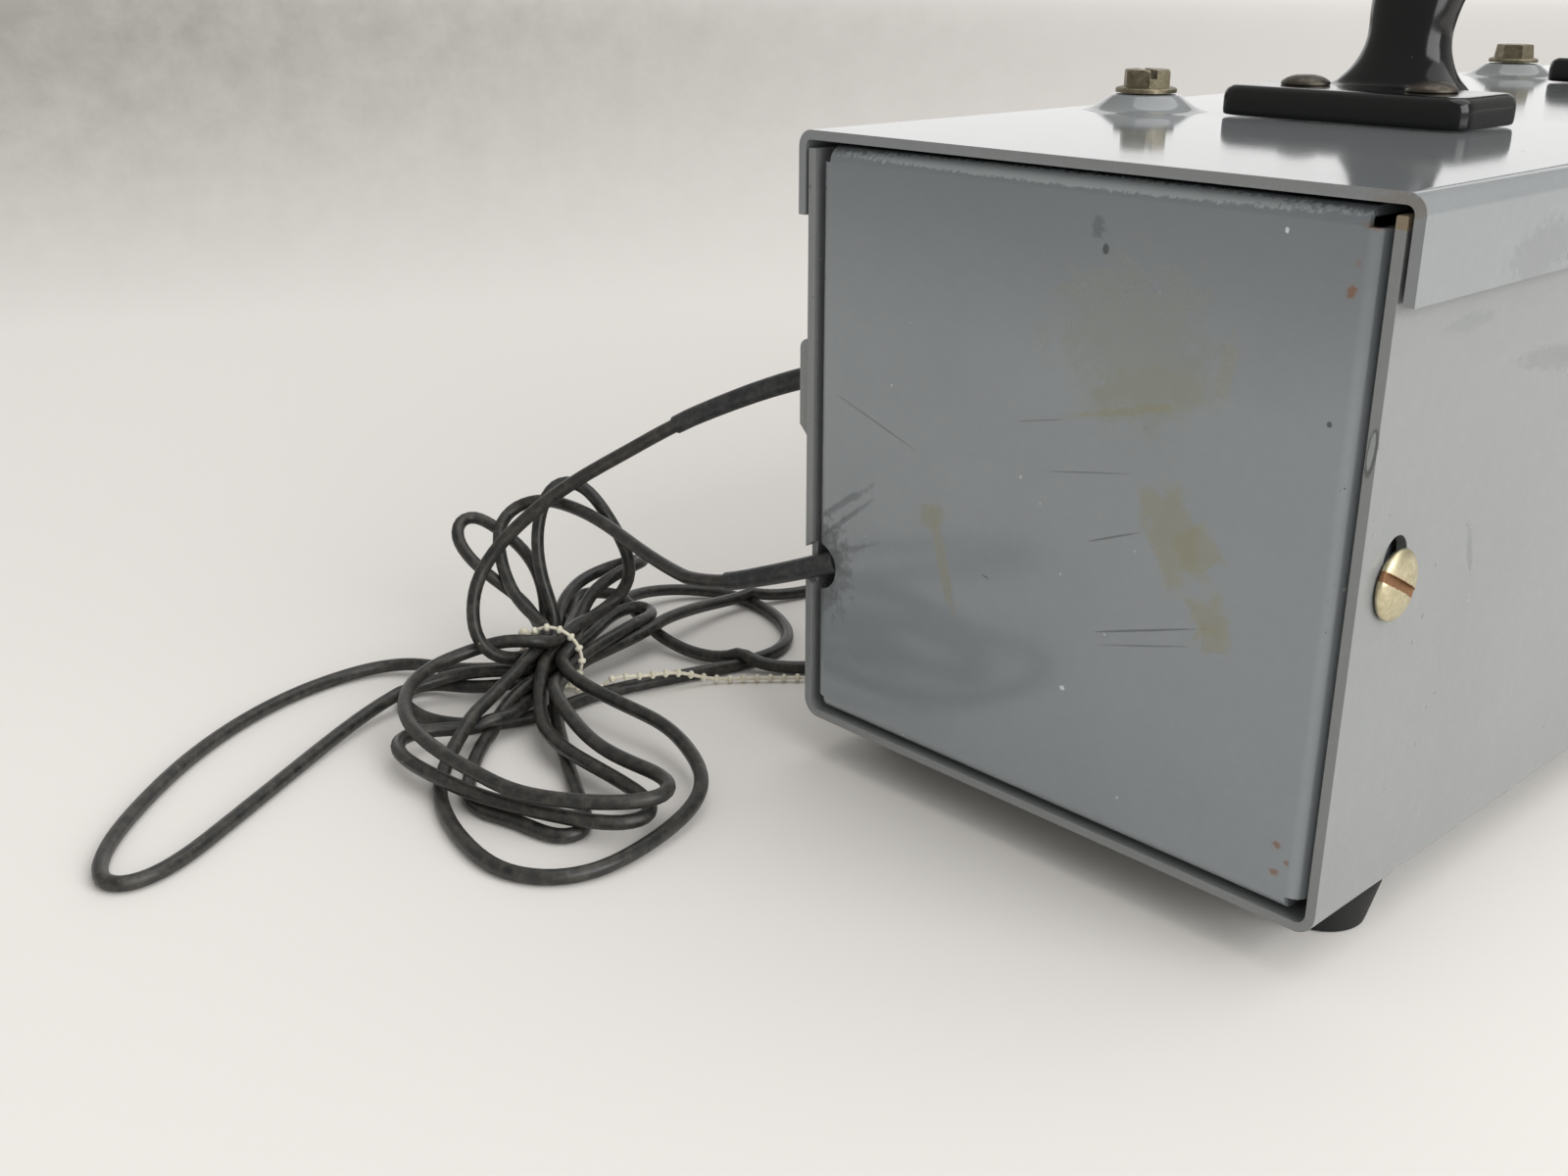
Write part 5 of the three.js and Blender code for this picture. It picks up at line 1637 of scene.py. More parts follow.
@dataclass
class Handle:
    """A moulded handle: two screwed ears, flared posts and a rounded grip."""

    ear_thickness: float = 6.3
    ear_depth: float = 25.4
    ear_corner: float = 3.6
    ear_round: float = 2.2
    voxel: float = 0.75
    ring_spacing: float = 1.8
    # Each ring: distance from the middle, height over the lid, half width, half depth.
    rings: tuple[tuple[float, float, float, float], ...] = (
        (66.5, 4.2, 15.6, 9.6),
        (66.3, 6.4, 14.2, 9.0),
        (66.0, 8.8, 11.6, 8.2),
        (65.6, 12.0, 9.7, 7.5),
        (65.2, 16.0, 8.6, 7.1),
        (64.6, 21.0, 9.0, 7.2),
        (62.6, 26.5, 9.8, 7.4),
        (58.6, 32.0, 10.3, 7.5),
        (52.0, 35.8, 10.3, 7.2),
        (42.0, 37.0, 9.9, 7.0),
        (28.0, 37.4, 9.6, 6.9),
        (0.0, 37.6, 9.6, 6.9),
    )

    def build(self) -> None:
        """Lofts the bar, adds the ears and melts them into one moulding."""
        low, high = limits("carry_handle")
        centre = (low.y + high.y) / 2
        bar = self._bar(centre, low.z)
        for sign, edge in ((-1, low.y), (1, high.y)):
            inner = edge - sign * self.ear_depth
            outline = rounded_rectangle(low.x, high.x, min(edge, inner), max(edge, inner), self.ear_corner, 8)
            ear = prism("ear", outline, Axis.Z, low.z, low.z + self.ear_thickness)
            self._round_top(ear, low.z + self.ear_thickness)
            joined(bar, ear)
        bar.name = "carry_handle_moulding"
        shaped(bar, "REMESH", mode="VOXEL", voxel_size=self.voxel * MM, use_smooth_shade=True)
        shaped(bar, "SMOOTH", factor=0.5, iterations=5)
        self._flatten(bar, low.z)
        holes = [turned("hole", [(0, -9), (2.4, -9), (2.4, 9), (0, 9)], Axis.Z,
                        (middle(n).x, middle(n).y, low.z), 24)
                 for n in (f"handle_screw_{e}_{s}" for e in ("front", "rear") for s in ("left", "right"))]
        cut(bar, *holes)
        finished(smoothed(bar, 60), PALETTE.handle, stands_for=["carry_handle"])

    def _round_top(self, ear: bpy.types.Object, top: float) -> None:
        """Rounds an ear's upper edge all the way round.

        Args:
            ear: The ear.
            top: Height of its upper face.
        """
        shape = bmesh.new()
        shape.from_mesh(ear.data)
        near = [e for e in shape.edges if all(abs(v.co.z - top * MM) < 1e-6 for v in e.verts)]
        bmesh.ops.bevel(shape, geom=near, offset=self.ear_round * MM, segments=6, profile=0.5, affect="EDGES")
        shape.to_mesh(ear.data)
        shape.free()

    def _bar(self, centre: float, base: float) -> bpy.types.Object:
        """Lofts oval rings from one foot over to the other.

        Args:
            centre: Middle of the handle on Y.
            base: Height of the lid.

        Returns:
            The closed bar.
        """
        whole = [*self.rings, *[(-y, z, w, d) for y, z, w, d in reversed(self.rings[:-1])]]
        mirrored = curve_through(np.array(whole), self.ring_spacing)
        ways = np.gradient(mirrored[:, :2], axis=0)
        ways /= np.linalg.norm(ways, axis=1)[:, None]
        ways[0], ways[-1] = (0, 1), (0, -1)
        sides = 48

        def build(shape: bmesh.types.BMesh) -> None:
            """Adds the oval rings, joined one to the next.

            Args:
                shape: The empty bmesh.
            """
            loops = []
            for (y, z, width, depth), (way_y, way_z) in zip(mirrored, ways):
                loop = []
                for i in range(sides):
                    t = 2 * math.pi * i / sides
                    out = depth * math.copysign(abs(math.sin(t)) ** 0.85, math.sin(t))
                    across = width * math.copysign(abs(math.cos(t)) ** 0.85, math.cos(t))
                    loop.append(shape.verts.new((across, centre + y - out * way_z, base + z + out * way_y)))
                loops.append(loop)
            shape.faces.new(loops[0])
            shape.faces.new(loops[-1])
            for a, b in zip(loops, loops[1:]):
                for i in range(sides):
                    j = (i + 1) % sides
                    shape.faces.new((a[i], a[j], b[j], b[i]))

        return closed_mesh("grip", build)

    def _flatten(self, bar: bpy.types.Object, base: float) -> None:
        """Keeps the ears' undersides flat on the lid.

        Args:
            bar: The moulding.
            base: Height of the lid.
        """
        for vertex in bar.data.vertices:
            if vertex.co.z < (base + 0.8) * MM:
                vertex.co.z = max(vertex.co.z, base * MM)


# ------------------------------------------------------------------ drive end


@dataclass
class DriveEnd:
    """What shows at the rear: the output shaft, its sprocket and the mains inlet."""

    teeth: int = 9
    pitch: float = 12.7
    pin_places: tuple[float, float] = (-36.0, -26.0)
    pin_base: float = 95.0
    pin_top: float = 101.0

    def build(self) -> None:
        """Makes the shaft, sprocket and inlet."""
        self._shaft()
        self._sprocket()
        self._inlet()

    def _shaft(self) -> None:
        """A ground shaft with chamfered ends."""
        low, high = limits("output_shaft")
        at, radius = middle("output_shaft"), (high.x - low.x) / 2
        profile = [(0, low.y), (radius - 0.8, low.y), (radius, low.y + 0.8), (radius, high.y - 1.0),
                   (radius - 1.0, high.y), (1.6, high.y), (0, high.y - 1.5)]
        shaft = turned("output_shaft_ground", profile, Axis.Y, (at.x, 0, at.z), 48)
        finished(smoothed(shaft, 30), PALETTE.steel, "output", ["output_shaft"])

    def _sprocket(self) -> None:
        """A chain sprocket with round-bottomed teeth and a hub."""
        low, high = limits("drive_sprocket")
        shaft = middle("output_shaft")
        pitch_radius = self.pitch / (2 * math.sin(math.pi / self.teeth))
        outline: Outline = []
        for tooth in range(self.teeth):
            base = 2 * math.pi * tooth / self.teeth
            for share, reach in ((-0.11, 2.4), (-0.05, 2.9), (0.05, 2.9), (0.11, 2.4)):
                angle = base + share * 2 * math.pi / self.teeth
                tip = pitch_radius + reach
                outline.append((tip * math.cos(angle), tip * math.sin(angle)))
            root = base + math.pi / self.teeth
            centre = (pitch_radius * math.cos(root), pitch_radius * math.sin(root))
            facing = math.degrees(root) + 180
            outline += arc(centre[0], centre[1], 3.95, facing - 62, facing + 62, 8)
        ordered = sorted(outline, key=lambda p: math.atan2(p[1], p[0]))
        moved = [(a + shaft.x, b + shaft.z) for a, b in ordered]
        wheel = prism("sprocket", moved, Axis.Y, low.y, high.y)
        profile = [(0, low.y - 0.6), (9, low.y - 0.6), (9, high.y + 3), (8.4, high.y + 3.6),
                   (0, high.y + 3.6)]
        hub = turned("hub", profile, Axis.Y, (shaft.x, 0, shaft.z), 40)
        joined(wheel, hub)
        bore = [(0, low.y - 5), (6.15, low.y - 5), (6.15, high.y + 9), (0, high.y + 9)]
        cut(wheel, turned("bore", bore, Axis.Y, (shaft.x, 0, shaft.z), 48))
        wheel.name = "drive_sprocket_wheel"
        smoothed(eased(wheel, 0.25), 30)
        finished(wheel, PALETTE.steel, "output", ["drive_sprocket"])

    def _inlet(self) -> None:
        """A two-pin socket set in the rear panel."""
        low, high = limits("mains_inlet")
        rim = rounded_rectangle(low.x, high.x, low.z, high.z, 2.0, 5)
        flange = prism("flange", rim, Axis.Y, high.y - 4.0, high.y - 1.6)
        shell = rounded_rectangle(low.x + 3.4, high.x - 3.4, low.z + 3.4, high.z - 3.4, 1.5, 5)
        body = prism("body", shell, Axis.Y, low.y, high.y)
        joined(body, flange)
        well = rounded_rectangle(low.x + 6, high.x - 6, low.z + 6, high.z - 6, 2.5, 6)
        cut(body, prism("well", well, Axis.Y, high.y - 13.7, high.y + 2))
        for x in self.pin_places:
            blade = rounded_rectangle(x - 1, x + 1, self.pin_base, self.pin_top, 0.4, 3)
            joined(body, prism("pin", blade, Axis.Y, high.y - 15, high.y - 3))
        body.name = "mains_inlet_socket"
        smoothed(eased(body, 0.25), 30)
        finished(body, PALETTE.abs_plastic, stands_for=["mains_inlet"])


# ------------------------------------------------------------------ leads


def curve_through(points: np.ndarray, spacing: float) -> np.ndarray:
    """Samples a centripetal Catmull-Rom curve through points.

    Args:
        points: The places that it passes, one a row, in millimetres.
        spacing: Distance between samples.

    Returns:
        Evenly spaced samples.
    """
    ends = np.vstack([2 * points[0] - points[1], points, 2 * points[-1] - points[-2]])
    knots = np.concatenate([[0], np.cumsum(np.sqrt(np.linalg.norm(np.diff(ends, axis=0), axis=1)))])
    found = []
    for i in range(1, len(ends) - 2):
        t0, t1, t2, t3 = knots[i - 1 : i + 3]
        p0, p1, p2, p3 = ends[i - 1 : i + 3]
        for t in np.linspace(t1, t2, 14, endpoint=False):
            a1 = (t1 - t) / (t1 - t0) * p0 + (t - t0) / (t1 - t0) * p1
            a2 = (t2 - t) / (t2 - t1) * p1 + (t - t1) / (t2 - t1) * p2
            a3 = (t3 - t) / (t3 - t2) * p2 + (t - t2) / (t3 - t2) * p3
            b1 = (t2 - t) / (t2 - t0) * a1 + (t - t0) / (t2 - t0) * a2
            b2 = (t3 - t) / (t3 - t1) * a2 + (t - t1) / (t3 - t1) * a3
            found.append((t2 - t) / (t2 - t1) * b1 + (t - t1) / (t2 - t1) * b2)
    found.append(points[-1])
    line = np.array(found)
    along = np.concatenate([[0], np.cumsum(np.linalg.norm(np.diff(line, axis=0), axis=1))])
    at = np.linspace(0, along[-1], max(2, round(along[-1] / spacing) + 1))
    return np.stack([np.interp(at, along, line[:, k]) for k in range(line.shape[1])], axis=1)


@dataclass
class Tie:
    """Where the leads are tied, and the place of each pass through the tie."""

    centre: tuple[float, float] = (-130.0, -211.0)
    # Level direction of the strands, from the far side of the tie to the near side.
    way: tuple[float, float] = (0.53, -0.85)
    half_length: float = 6.0

    def passing(self, across: float, height: float, towards_front: bool) -> list[Point]:
        """Two points of a strand that goes straight through the tie.

        Args:
            across: Offset from the middle of the bundle.
            height: Height over the floor.
            towards_front: Whether the strand runs from the far side to the near one.

        Returns:
            The point before the tie and the one after it.
        """
        x, y = self.centre
        way_x, way_y = self.way
        both = []
        for sign in (-1, 1):
            reach = sign * self.half_length
            both.append((x + reach * way_x - across * way_y, y + reach * way_y + across * way_x, height))
        return both if towards_front else both[::-1]


@dataclass
class Leads:
    """Two thin leads, looped, tied in the middle, and put away in coils behind the unit."""

    tie: Tie = field(default_factory=Tie)
    spacing: float = 2.2
    rest: float = 1.7
    coil_radius: float = 16.0
    coil_turns: int = 3
    upper_coil: tuple[float, float] = (-92.0, -30.0)
    lower_coil: tuple[float, float] = (-92.0, -100.0)

    def build(self) -> None:
        """Lays both leads, dresses them and adds what is on them."""
        outlet = middle("lead_outlet")
        upper_start = [(-66.4, outlet.y, outlet.z), (-70.0, outlet.y - 0.4, outlet.z),
                       (-82, -183, 80), (-101, -194, 70)]
        lower_start = [(-59.5, -189.5, 46.0), (-70.0, -193.6, 42.0), (-82, -197, 38)]
        upper = curve_through(np.array([*upper_start, *self._upper_route()], float), self.spacing)
        lower = curve_through(np.array([*lower_start, *self._lower_route()], float), self.spacing)
        self._settle(upper, lower)
        upper = self._with_coil(upper, self.upper_coil)
        lower = self._with_coil(lower, self.lower_coil)
        strap = self._strap()
        ties = [self._coil_ties("upper", self.upper_coil), self._coil_ties("lower", self.lower_coil)]
        self._lead("upper", upper)
        self._lead("lower", lower)

    def _upper_route(self) -> list[Point]:
        """The upper lead from its sleeve, through the tie seven times, to its coil.

        Returns:
            Places on its centreline, in order.
        """
        tie = self.tie.passing
        return [
            (-113, -199, 62), (-122, -207, 55), (-130, -212, 48), (-134, -218, 42), (-137, -223, 36),
            (-137, -228, 30), (-136, -230, 23), (-134, -231, 17), (-131, -228, 12),
            *tie(-3.3, 10.2, False),
            (-146, -206, 16), (-151, -207, 19), (-155, -212, 23), (-159, -215, 27), (-164, -216, 31),
            (-168, -214, 34), (-170, -210, 36), (-169, -206, 36), (-164, -205, 34), (-156, -202, 30),
            (-151, -200, 25), (-146, -201, 18),
            *tie(-4.95, 7.3, True),
            (-140, -224, 6), (-150, -228, 4), (-162, -231, 3), (-168, -238, 2), (-169, -248, 1.7),
            (-167, -262, 1.7), (-161, -278, 1.7), (-151, -295, 1.7), (-138, -311, 1.7), (-125, -324, 1.7),
            (-116, -330, 1.7), (-110, -332, 1.7), (-106, -328, 1.7), (-107, -321, 1.7), (-110, -314, 1.7),
            (-116, -304, 1.7), (-125, -289, 1.7), (-136, -270, 2), (-142, -257, 3), (-145, -247, 4),
            (-145, -237, 5), (-139, -227, 7),
            *tie(-1.65, 7.3, False),
            (-139, -202, 13), (-143, -204, 22), (-147, -203, 31), (-148, -201, 39), (-149, -198, 44),
            (-151, -194, 46), (-149, -191, 47), (-146, -189, 46), (-141, -189, 44), (-136, -189, 40),
            (-133, -187, 34), (-132, -184, 27), (-133, -183, 21), (-136, -184, 16), (-137, -190, 13),
            *tie(1.65, 13.1, True),
            (-128, -220, 16), (-134, -222, 15.5), (-138, -230, 13), (-139, -239, 12), (-136, -247, 11),
            (-128, -254, 10.5), (-120, -258, 10), (-111, -260, 10), (-98, -261, 10), (-88, -260, 9.5),
            (-77, -259, 9), (-65, -252, 9), (-56, -243, 9), (-53, -237, 9), (-56, -232, 9), (-63, -231, 9),
            (-71, -233, 9), (-81, -234, 9.5), (-94, -231, 10), (-104, -228, 11), (-112, -224, 11),
            *tie(4.95, 7.3, False),
            (-130, -191, 8), (-132, -182, 8), (-134, -175, 8), (-139, -171, 8), (-144, -172, 8),
            (-146, -178, 8), (-142, -186, 8), (-136, -195, 8),
            *tie(1.65, 7.3, True),
            (-121, -227, 7), (-117, -237, 4), (-109, -247, 2.5), (-99, -256, 1.7), (-92, -261, 1.7),
            (-86, -262, 1.7), (-80, -258, 1.7), (-73, -257, 1.7), (-66, -257, 1.7), (-62, -252, 1.7),
            (-67, -247, 1.7), (-76, -243, 1.7), (-84, -239, 2), (-99, -231, 3), (-111, -224, 4),
            *tie(3.3, 4.4, False),
            (-130, -193, 7), (-132, -181, 8), (-135, -166, 7), (-139, -148, 4), (-138, -134, 2),
            (-134, -124, 1.7), (-132, -98, 1.7), (-128, -68, 1.7), (-119, -45, 1.7),
        ]

    def _lower_route(self) -> list[Point]:
        """The lower lead from its sleeve, through the tie five times, to its coil.

        Returns:
            Places on its centreline, in order.
        """
        tie = self.tie.passing
        return [
            (-94, -198, 36), (-103, -197, 36), (-113, -196, 37), (-124, -194, 38), (-136, -193, 39.5),
            (-148, -193, 40), (-156, -194, 40), (-161, -198, 38.5), (-162, -202, 36.5), (-160, -206, 34),
            (-157, -208, 30), (-154, -209, 26), (-150, -210, 21), (-143, -210, 17),
            *tie(-1.65, 13.1, True),
            (-123, -227, 11), (-119, -238, 8), (-115, -247, 5), (-110, -254, 3), (-104, -260, 1.7),
            (-98, -264, 1.7), (-88, -268, 1.7), (-76, -271, 1.7), (-63, -272, 1.7), (-54, -267, 1.7),
            (-50, -259, 1.7), (-51, -246, 2), (-54, -232, 3), (-57, -225, 4), (-62, -220, 5), (-69, -217, 6),
            (-82, -214, 8), (-96, -216, 9), (-108, -218, 10.5),
            *tie(3.3, 10.2, False),
            (-137, -197, 14), (-142, -191, 17), (-141, -186, 20), (-139, -180, 22), (-141, -172, 21.5),
            (-147, -168, 19.5), (-154, -169, 17), (-158, -175, 15), (-157, -184, 14), (-150, -193, 12),
            *tie(-3.3, 4.4, True),
            (-133, -226, 4), (-141, -231, 3), (-149, -233, 2.5), (-153, -238, 1.7), (-149, -244, 1.7),
            (-139, -246, 1.7), (-130, -245, 1.7), (-122, -239, 1.7), (-117, -228, 1.7), (-117, -217, 1.7),
            (-118, -208, 1.7), (-116, -199, 1.7), (-113, -188, 1.7), (-110, -177, 1.7), (-107, -166, 1.7),
            (-107, -156, 1.7), (-112, -148, 1.7), (-119, -143, 1.7), (-127, -140, 1.7), (-136, -138, 1.7),
            (-148, -139, 1.7), (-154, -143, 2), (-158, -150, 3), (-158, -161, 5), (-153, -174, 7),
            (-145, -188, 8.5),
            *tie(0, 4.4, True),
            (-120, -226, 5), (-115, -233, 5), (-114, -240, 4.5), (-119, -246, 4.5), (-124, -252, 4.5),
            (-125, -258, 4.5), (-120, -262, 5), (-111, -264, 5.5), (-99, -263, 5.5), (-87, -261, 5),
            (-74, -256, 5), (-61, -250, 5), (-55, -245, 5), (-54, -240, 5), (-58, -236, 5), (-65, -235, 5),
            (-78, -236, 6), (-91, -236, 6), (-102, -234, 6.5), (-113, -227, 7.5),
            *tie(0, 10.2, False),
            (-142, -196, 10.5), (-152, -190, 10.5), (-159, -183, 10), (-158, -175, 9), (-151, -172, 7.5),
            (-143, -174, 6), (-134, -176, 4), (-122, -175, 2), (-107, -169, 1.7), (-95, -160, 1.7),
            (-90, -149, 1.7), (-95, -136, 1.7), (-106, -122, 1.7), (-112, -110, 1.7),
        ]

    def _settle(self, upper: np.ndarray, lower: np.ndarray, rounds: int = 160) -> None:
        """Pushes strands apart where they cross and keeps them on the floor, in place.

        Args:
            upper: The upper lead's points, changed in place.
            lower: The lower lead's points, changed in place.
            rounds: How many small moves are made.
        """
        places = np.vstack([upper, lower])
        wanted = places.copy()
        lead = np.repeat([0, 1], [len(upper), len(lower)])
        order = np.concatenate([np.arange(len(upper)), np.arange(len(lower))])
        apart = (lead[:, None] != lead[None, :]) | (np.abs(order[:, None] - order[None, :]) > 4)
        pairs = np.argwhere(np.triu(apart, 1))
        counts = [len(upper), len(lower)]
        fixed = (order < 18) | (order >= np.repeat([count - 20 for count in counts], counts))
        inside = (order > 0) & (np.append(lead[1:] == lead[:-1], False))
        for _ in range(rounds):
            gap = places[pairs[:, 0]] - places[pairs[:, 1]]
            far = np.linalg.norm(gap, axis=1)
            close = far < CORD_DIAMETER + 0.05
            push = gap[close] * ((CORD_DIAMETER + 0.05 - far[close]) / np.maximum(far[close], 0.2))[:, None]
            move = np.zeros_like(places)
            np.add.at(move, pairs[close, 0], 0.3 * push)
            np.add.at(move, pairs[close, 1], -0.3 * push)
            bend = np.zeros_like(places)
            bend[1:-1] = (places[:-2] + places[2:]) / 2 - places[1:-1]
            bend[~inside] = 0
            move += 0.16 * bend + 0.015 * (wanted - places)
            move[fixed] = 0
            places += move
            places[:, 2] = np.maximum(places[:, 2], self.rest)
        upper[:] = places[: len(upper)]
        lower[:] = places[len(upper) :]

    def _with_coil(self, line: np.ndarray, centre: tuple[float, float]) -> np.ndarray:
        """Adds a flat two-layer coil and the short way to the plug.

        Args:
            line: The centreline up to the coil.
            centre: The coil's middle on the floor.

        Returns:
            The whole centreline.
        """
        x, y = centre
        outer = self.coil_radius + self.coil_turns * CORD_DIAMETER / 2
        step = CORD_DIAMETER / (2 * math.pi)
        coil = []
        total = 2 * math.pi * self.coil_turns
        for layer in (0, 1):
            for angle in np.arange(0, total, math.radians(7.5)):
                radius = outer - step * angle if layer == 0 else outer - step * (total - angle)
                climb = min(1, max(0, (angle - total + 1.2) / 1.2))
                height = self.rest + CORD_DIAMETER * (layer if layer else climb)
                turn = math.pi - angle
                coil.append((x + radius * math.cos(turn), y + radius * math.sin(turn), height))
        plug = middle(f"lead_{'upper' if centre == self.upper_coil else 'lower'}_plug")
        high = self.rest + CORD_DIAMETER
        out = [(x - outer, y, high), (x - outer + 0.5, y + 8, high), (x - outer + 2.5, y + 16, high - 0.3),
               (x - outer + 6, y + 22.5, plug.z), (x - outer + 9.5, plug.y - 0.4, plug.z),
               (x - 9.0, plug.y, plug.z)]
        joining = curve_through(np.array([line[-2], line[-1], coil[0], coil[1]], float), self.spacing)
        leaving = curve_through(np.array(out, float), self.spacing)
        return np.vstack([line[:-1], joining[1:-1], np.array(coil[1:]), leaving])

    def _lead(self, name: str, line: np.ndarray) -> None:
        """Args:
            name: "upper" or "lower".
            line: Its centreline in millimetres.
        """
        data = bpy.data.curves.new(f"lead_{name}", "CURVE")
        data.dimensions = "3D"
        data.bevel_depth = CORD_DIAMETER / 2 * MM
        data.bevel_resolution = 4
        data.use_fill_caps = True
        spline = data.splines.new("POLY")
        spline.points.add(len(line) - 1)
        for point, place in zip(spline.points, line):
            point.co = (*(place * MM), 1.0)
        cord = bpy.data.objects.new(f"lead_{name}", data)
        bpy.context.scene.collection.objects.link(cord)
        nodes = [f"lead_{name}_{part}" for part in ("run", "tail", "coil")]
        if name == "upper":
            nodes.append("lead_bundle")
        finished(cord, PALETTE.jacket, stands_for=nodes)
        sleeve = self._sleeve(name, line)
        plug = self._plug(name)

    def _sleeve(self, name: str, line: np.ndarray) -> bpy.types.Object:
        """Sweeps a tapered sleeve along the first stretch of a lead.

        Args:
            name: "upper" or "lower".
            line: The lead's centreline.

        Returns:
            The sleeve.
        """
        end = np.array((-101, -194, 70) if name == "upper" else (-82, -197, 38), float)
        last = int(np.linalg.norm(line[:40] - end, axis=1).argmin())
        stretch = line[: last + 1]
        inward = stretch[0] - (stretch[1] - stretch[0]) / np.linalg.norm(stretch[1] - stretch[0]) * 4.5
        path = curve_through(np.vstack([[inward], stretch]), 1.2)
        share = np.linspace(0, 1, len(path))
        radii = SLEEVE_DIAMETER / 2 + 0.3 * (1 - share) - 0.12 * share
        way = np.gradient(path, axis=0)
        way /= np.linalg.norm(way, axis=1)[:, None]
        sides = 24

        def ring(
            shape: bmesh.types.BMesh, centre: np.ndarray, along: np.ndarray, radius: float
        ) -> list[bmesh.types.BMVert]:
            """Adds one ring of corners across the sleeve.

            Args:
                shape: The bmesh that gets them.
                centre: Middle of the ring.
                along: The way that the sleeve runs there.
                radius: Of the ring.

            Returns:
                The new corners.
            """
            side = np.cross(along, (0, 0, 1.0))
            side /= np.linalg.norm(side)
            up = np.cross(side, along)
            turns = [2 * math.pi * i / sides for i in range(sides)]
            return [shape.verts.new(centre + radius * (math.cos(t) * side + math.sin(t) * up)) for t in turns]

        def build(shape: bmesh.types.BMesh) -> None:
            """Adds the outside, the lip and the start of the bore.

            Args:
                shape: The empty bmesh.
            """
            outer = [ring(shape, c, w, r) for c, w, r in zip(path, way, radii)]
            lip = [ring(shape, path[-1] + way[-1] * 0.25, way[-1], radii[-1] - 0.25)]
            bore = CORD_DIAMETER / 2 + 0.05
            inner = [ring(shape, path[i], way[i], bore) for i in (-1, -4)]
            loops = [*outer, *lip, *inner]
            for a, b in zip(loops, loops[1:]):
                for i in range(sides):
                    j = (i + 1) % sides
                    shape.faces.new((a[i], a[j], b[j], b[i]))
            shape.faces.new(loops[0])
            shape.faces.new(loops[-1])

        sleeve = closed_mesh(f"lead_{name}_sleeve", build)
        return finished(smoothed(sleeve, 50), PALETTE.sleeve, stands_for=[f"lead_sleeve_{name}"])

    def _plug(self, name: str) -> bpy.types.Object:
        """A slim barrel plug with grip rings and a plain pin.

        Args:
            name: "upper" or "lower".

        Returns:
            The plug.
        """
        node = f"lead_{name}_plug"
        low, high = limits(node)
        at = middle(node)
        radius = (high.z - low.z) / 2
        profile = [(0, low.x), (radius * 0.62, low.x), (radius * 0.95, low.x + 4)]
        for ring in range(5):
            start = low.x + 5 + 2 * ring
            profile += [(radius, start), (radius, start + 1.1),
                        (radius - 0.35, start + 1.3), (radius - 0.35, start + 1.8)]
        profile += [(radius, low.x + 15.4), (radius, low.x + 19.5), (radius - 0.5, low.x + 20),
                    (1.25, low.x + 20), (1.25, high.x - 0.5), (0.9, high.x), (0, high.x)]
        plug = turned(f"lead_{name}_barrel_plug", profile, Axis.X, (0, at.y, at.z), 32)
        return finished(smoothed(plug, 30), PALETTE.abs_plastic, stands_for=[node])

    def _strap(self) -> bpy.types.Object:
        """The beaded tie round the bundle, its head and its tail along the floor.

        Returns:
            The tie.
        """
        x, y = self.tie.centre
        way_x, way_y = self.tie.way
        ring = []
        for degrees in range(200, -141, -12):
            t = math.radians(degrees)
            across = 7.6 * math.cos(t)
            height = 8.75 + 7.6 * math.sin(t)
            ring.append((x - across * way_y, y + across * way_x, max(1.1, height)))
        tail = [(-120, -206, 1.2), (-117, -203, 4.6), (-113, -196, 4.7), (-110, -188, 4.0), (-106, -180, 1.4),
                (-99, -171, 1.1), (-92, -163, 1.1), (-86, -156, 1.1), (-82, -151, 1.1)]
        line = curve_through(np.array([*ring, *tail], float), 0.8)
        mesh = bpy.data.meshes.new("tie_line")
        mesh.from_pydata((line * MM).tolist(), [(i, i + 1) for i in range(len(line) - 1)], [])
        strap = grown("beaded_tie", mesh, beaded_tree(), {
            "Strand Radius": 0.45 * MM,
            "Bead Radius": 1.05 * MM,
            "Bead Spacing": 3.3 * MM,
            "Bead Length": 0.7,
            "Finish": PALETTE.tie.material(),
        })
        head = self._tie_head()
        joined_mesh = bmesh.new()
        joined_mesh.from_mesh(strap.data)
        joined_mesh.from_mesh(head.data)
        joined_mesh.to_mesh(strap.data)
        joined_mesh.free()
        bpy.data.objects.remove(head)
        return finished(smoothed(strap, 60), PALETTE.tie)

    def _tie_head(self) -> bpy.types.Object:
        """Two round lobes at the tie's left shoulder, where its end locks.

        Returns:
            The tie's head.
        """
        x, y = self.tie.centre
        way_x, way_y = self.tie.way

        def build(shape: bmesh.types.BMesh) -> None:
            """Adds the two lobes.

            Args:
                shape: The empty bmesh.
            """
            for across, height, radius in ((-8.3, 11.6, 1.25), (-7.3, 14.2, 1.35)):
                place = Matrix.Translation((x - across * way_y, y + across * way_x, height))
                bmesh.ops.create_uvsphere(shape, u_segments=20, v_segments=12, radius=radius, matrix=place)

        return closed_mesh("tie_head", build)

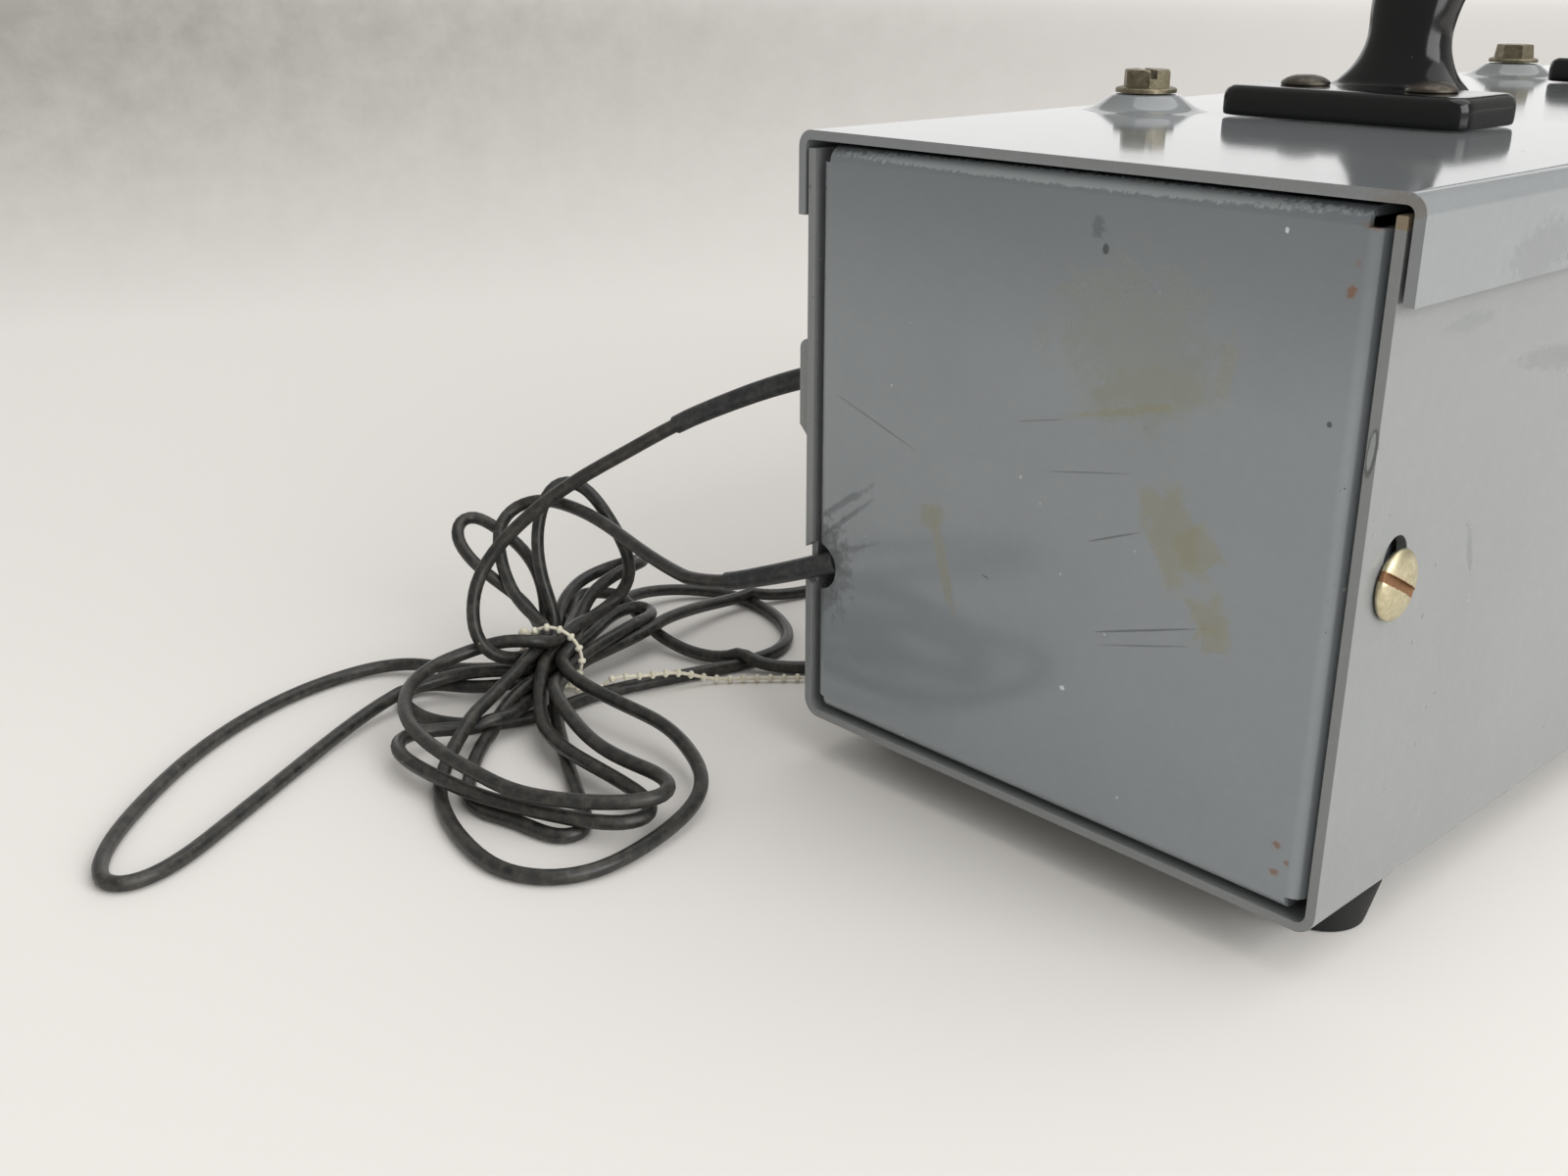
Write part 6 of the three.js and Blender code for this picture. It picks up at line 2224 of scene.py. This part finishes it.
    def _coil_ties(self, name: str, centre: tuple[float, float]) -> bpy.types.Object:
        """Two wrapped ties that hold a coil's turns together.

        Args:
            name: "upper" or "lower".
            centre: The coil's middle on the floor.

        Returns:
            Both ties, as one piece.
        """
        x, y = centre
        wide = self.coil_turns * CORD_DIAMETER / 2 + CORD_DIAMETER / 2 + 0.6
        loops = []
        for degrees in (60, 300):
            t = math.radians(degrees)
            middle_x, middle_y = x + self.coil_radius * math.cos(t), y + self.coil_radius * math.sin(t)
            for turn in range(2):
                shift = (turn - 0.5) * 1.3
                for i in range(24):
                    s = 2 * math.pi * i / 24
                    out = wide * math.cos(s)
                    up = 3.35 + 3.15 * math.sin(s)
                    loops.append((middle_x + out * math.cos(t) - shift * math.sin(t),
                                  middle_y + out * math.sin(t) + shift * math.cos(t), max(0.75, up)))
        edges = []
        for start in range(0, len(loops), 24):
            edges += [(start + i, start + (i + 1) % 24) for i in range(24)]
        mesh = bpy.data.meshes.new("coil_tie_line")
        mesh.from_pydata([[c * MM for c in p] for p in loops], edges, [])
        ties = grown(f"coil_ties_{name}", mesh, bpy.data.node_groups.get("beaded_strand") or beaded_tree(), {
            "Strand Radius": 0.6 * MM,
            "Bead Radius": 0.62 * MM,
            "Bead Spacing": 12 * MM,
            "Bead Length": 1.0,
            "Finish": PALETTE.abs_plastic.material(),
        })
        return finished(smoothed(ties, 60), PALETTE.abs_plastic)


# ------------------------------------------------------------------ works inside


def dress_works() -> None:
    """Gives every CAD node that still shows the finish of its slot."""
    slots = {row["node"]: row["material_slot"] for row in frame["record"]["subparts"]}
    for name, node in frame["nodes"].items():
        if node.hide_render:
            continue
        node.data.materials.clear()
        node.data.materials.append(CAD_FINISHES[slots[name]].material())
        LOG.info("%s keeps its CAD shape", name)


def main() -> None:
    """Builds the studio and every sub-assembly in order."""
    logging.basicConfig(level=logging.INFO, format="%(name)s: %(message)s")
    Studio().build()
    Leads().build()
    Case().build()
    Fittings().build()
    Handle().build()
    DriveEnd().build()
    dress_works()


if __name__ == "__main__":
    main()
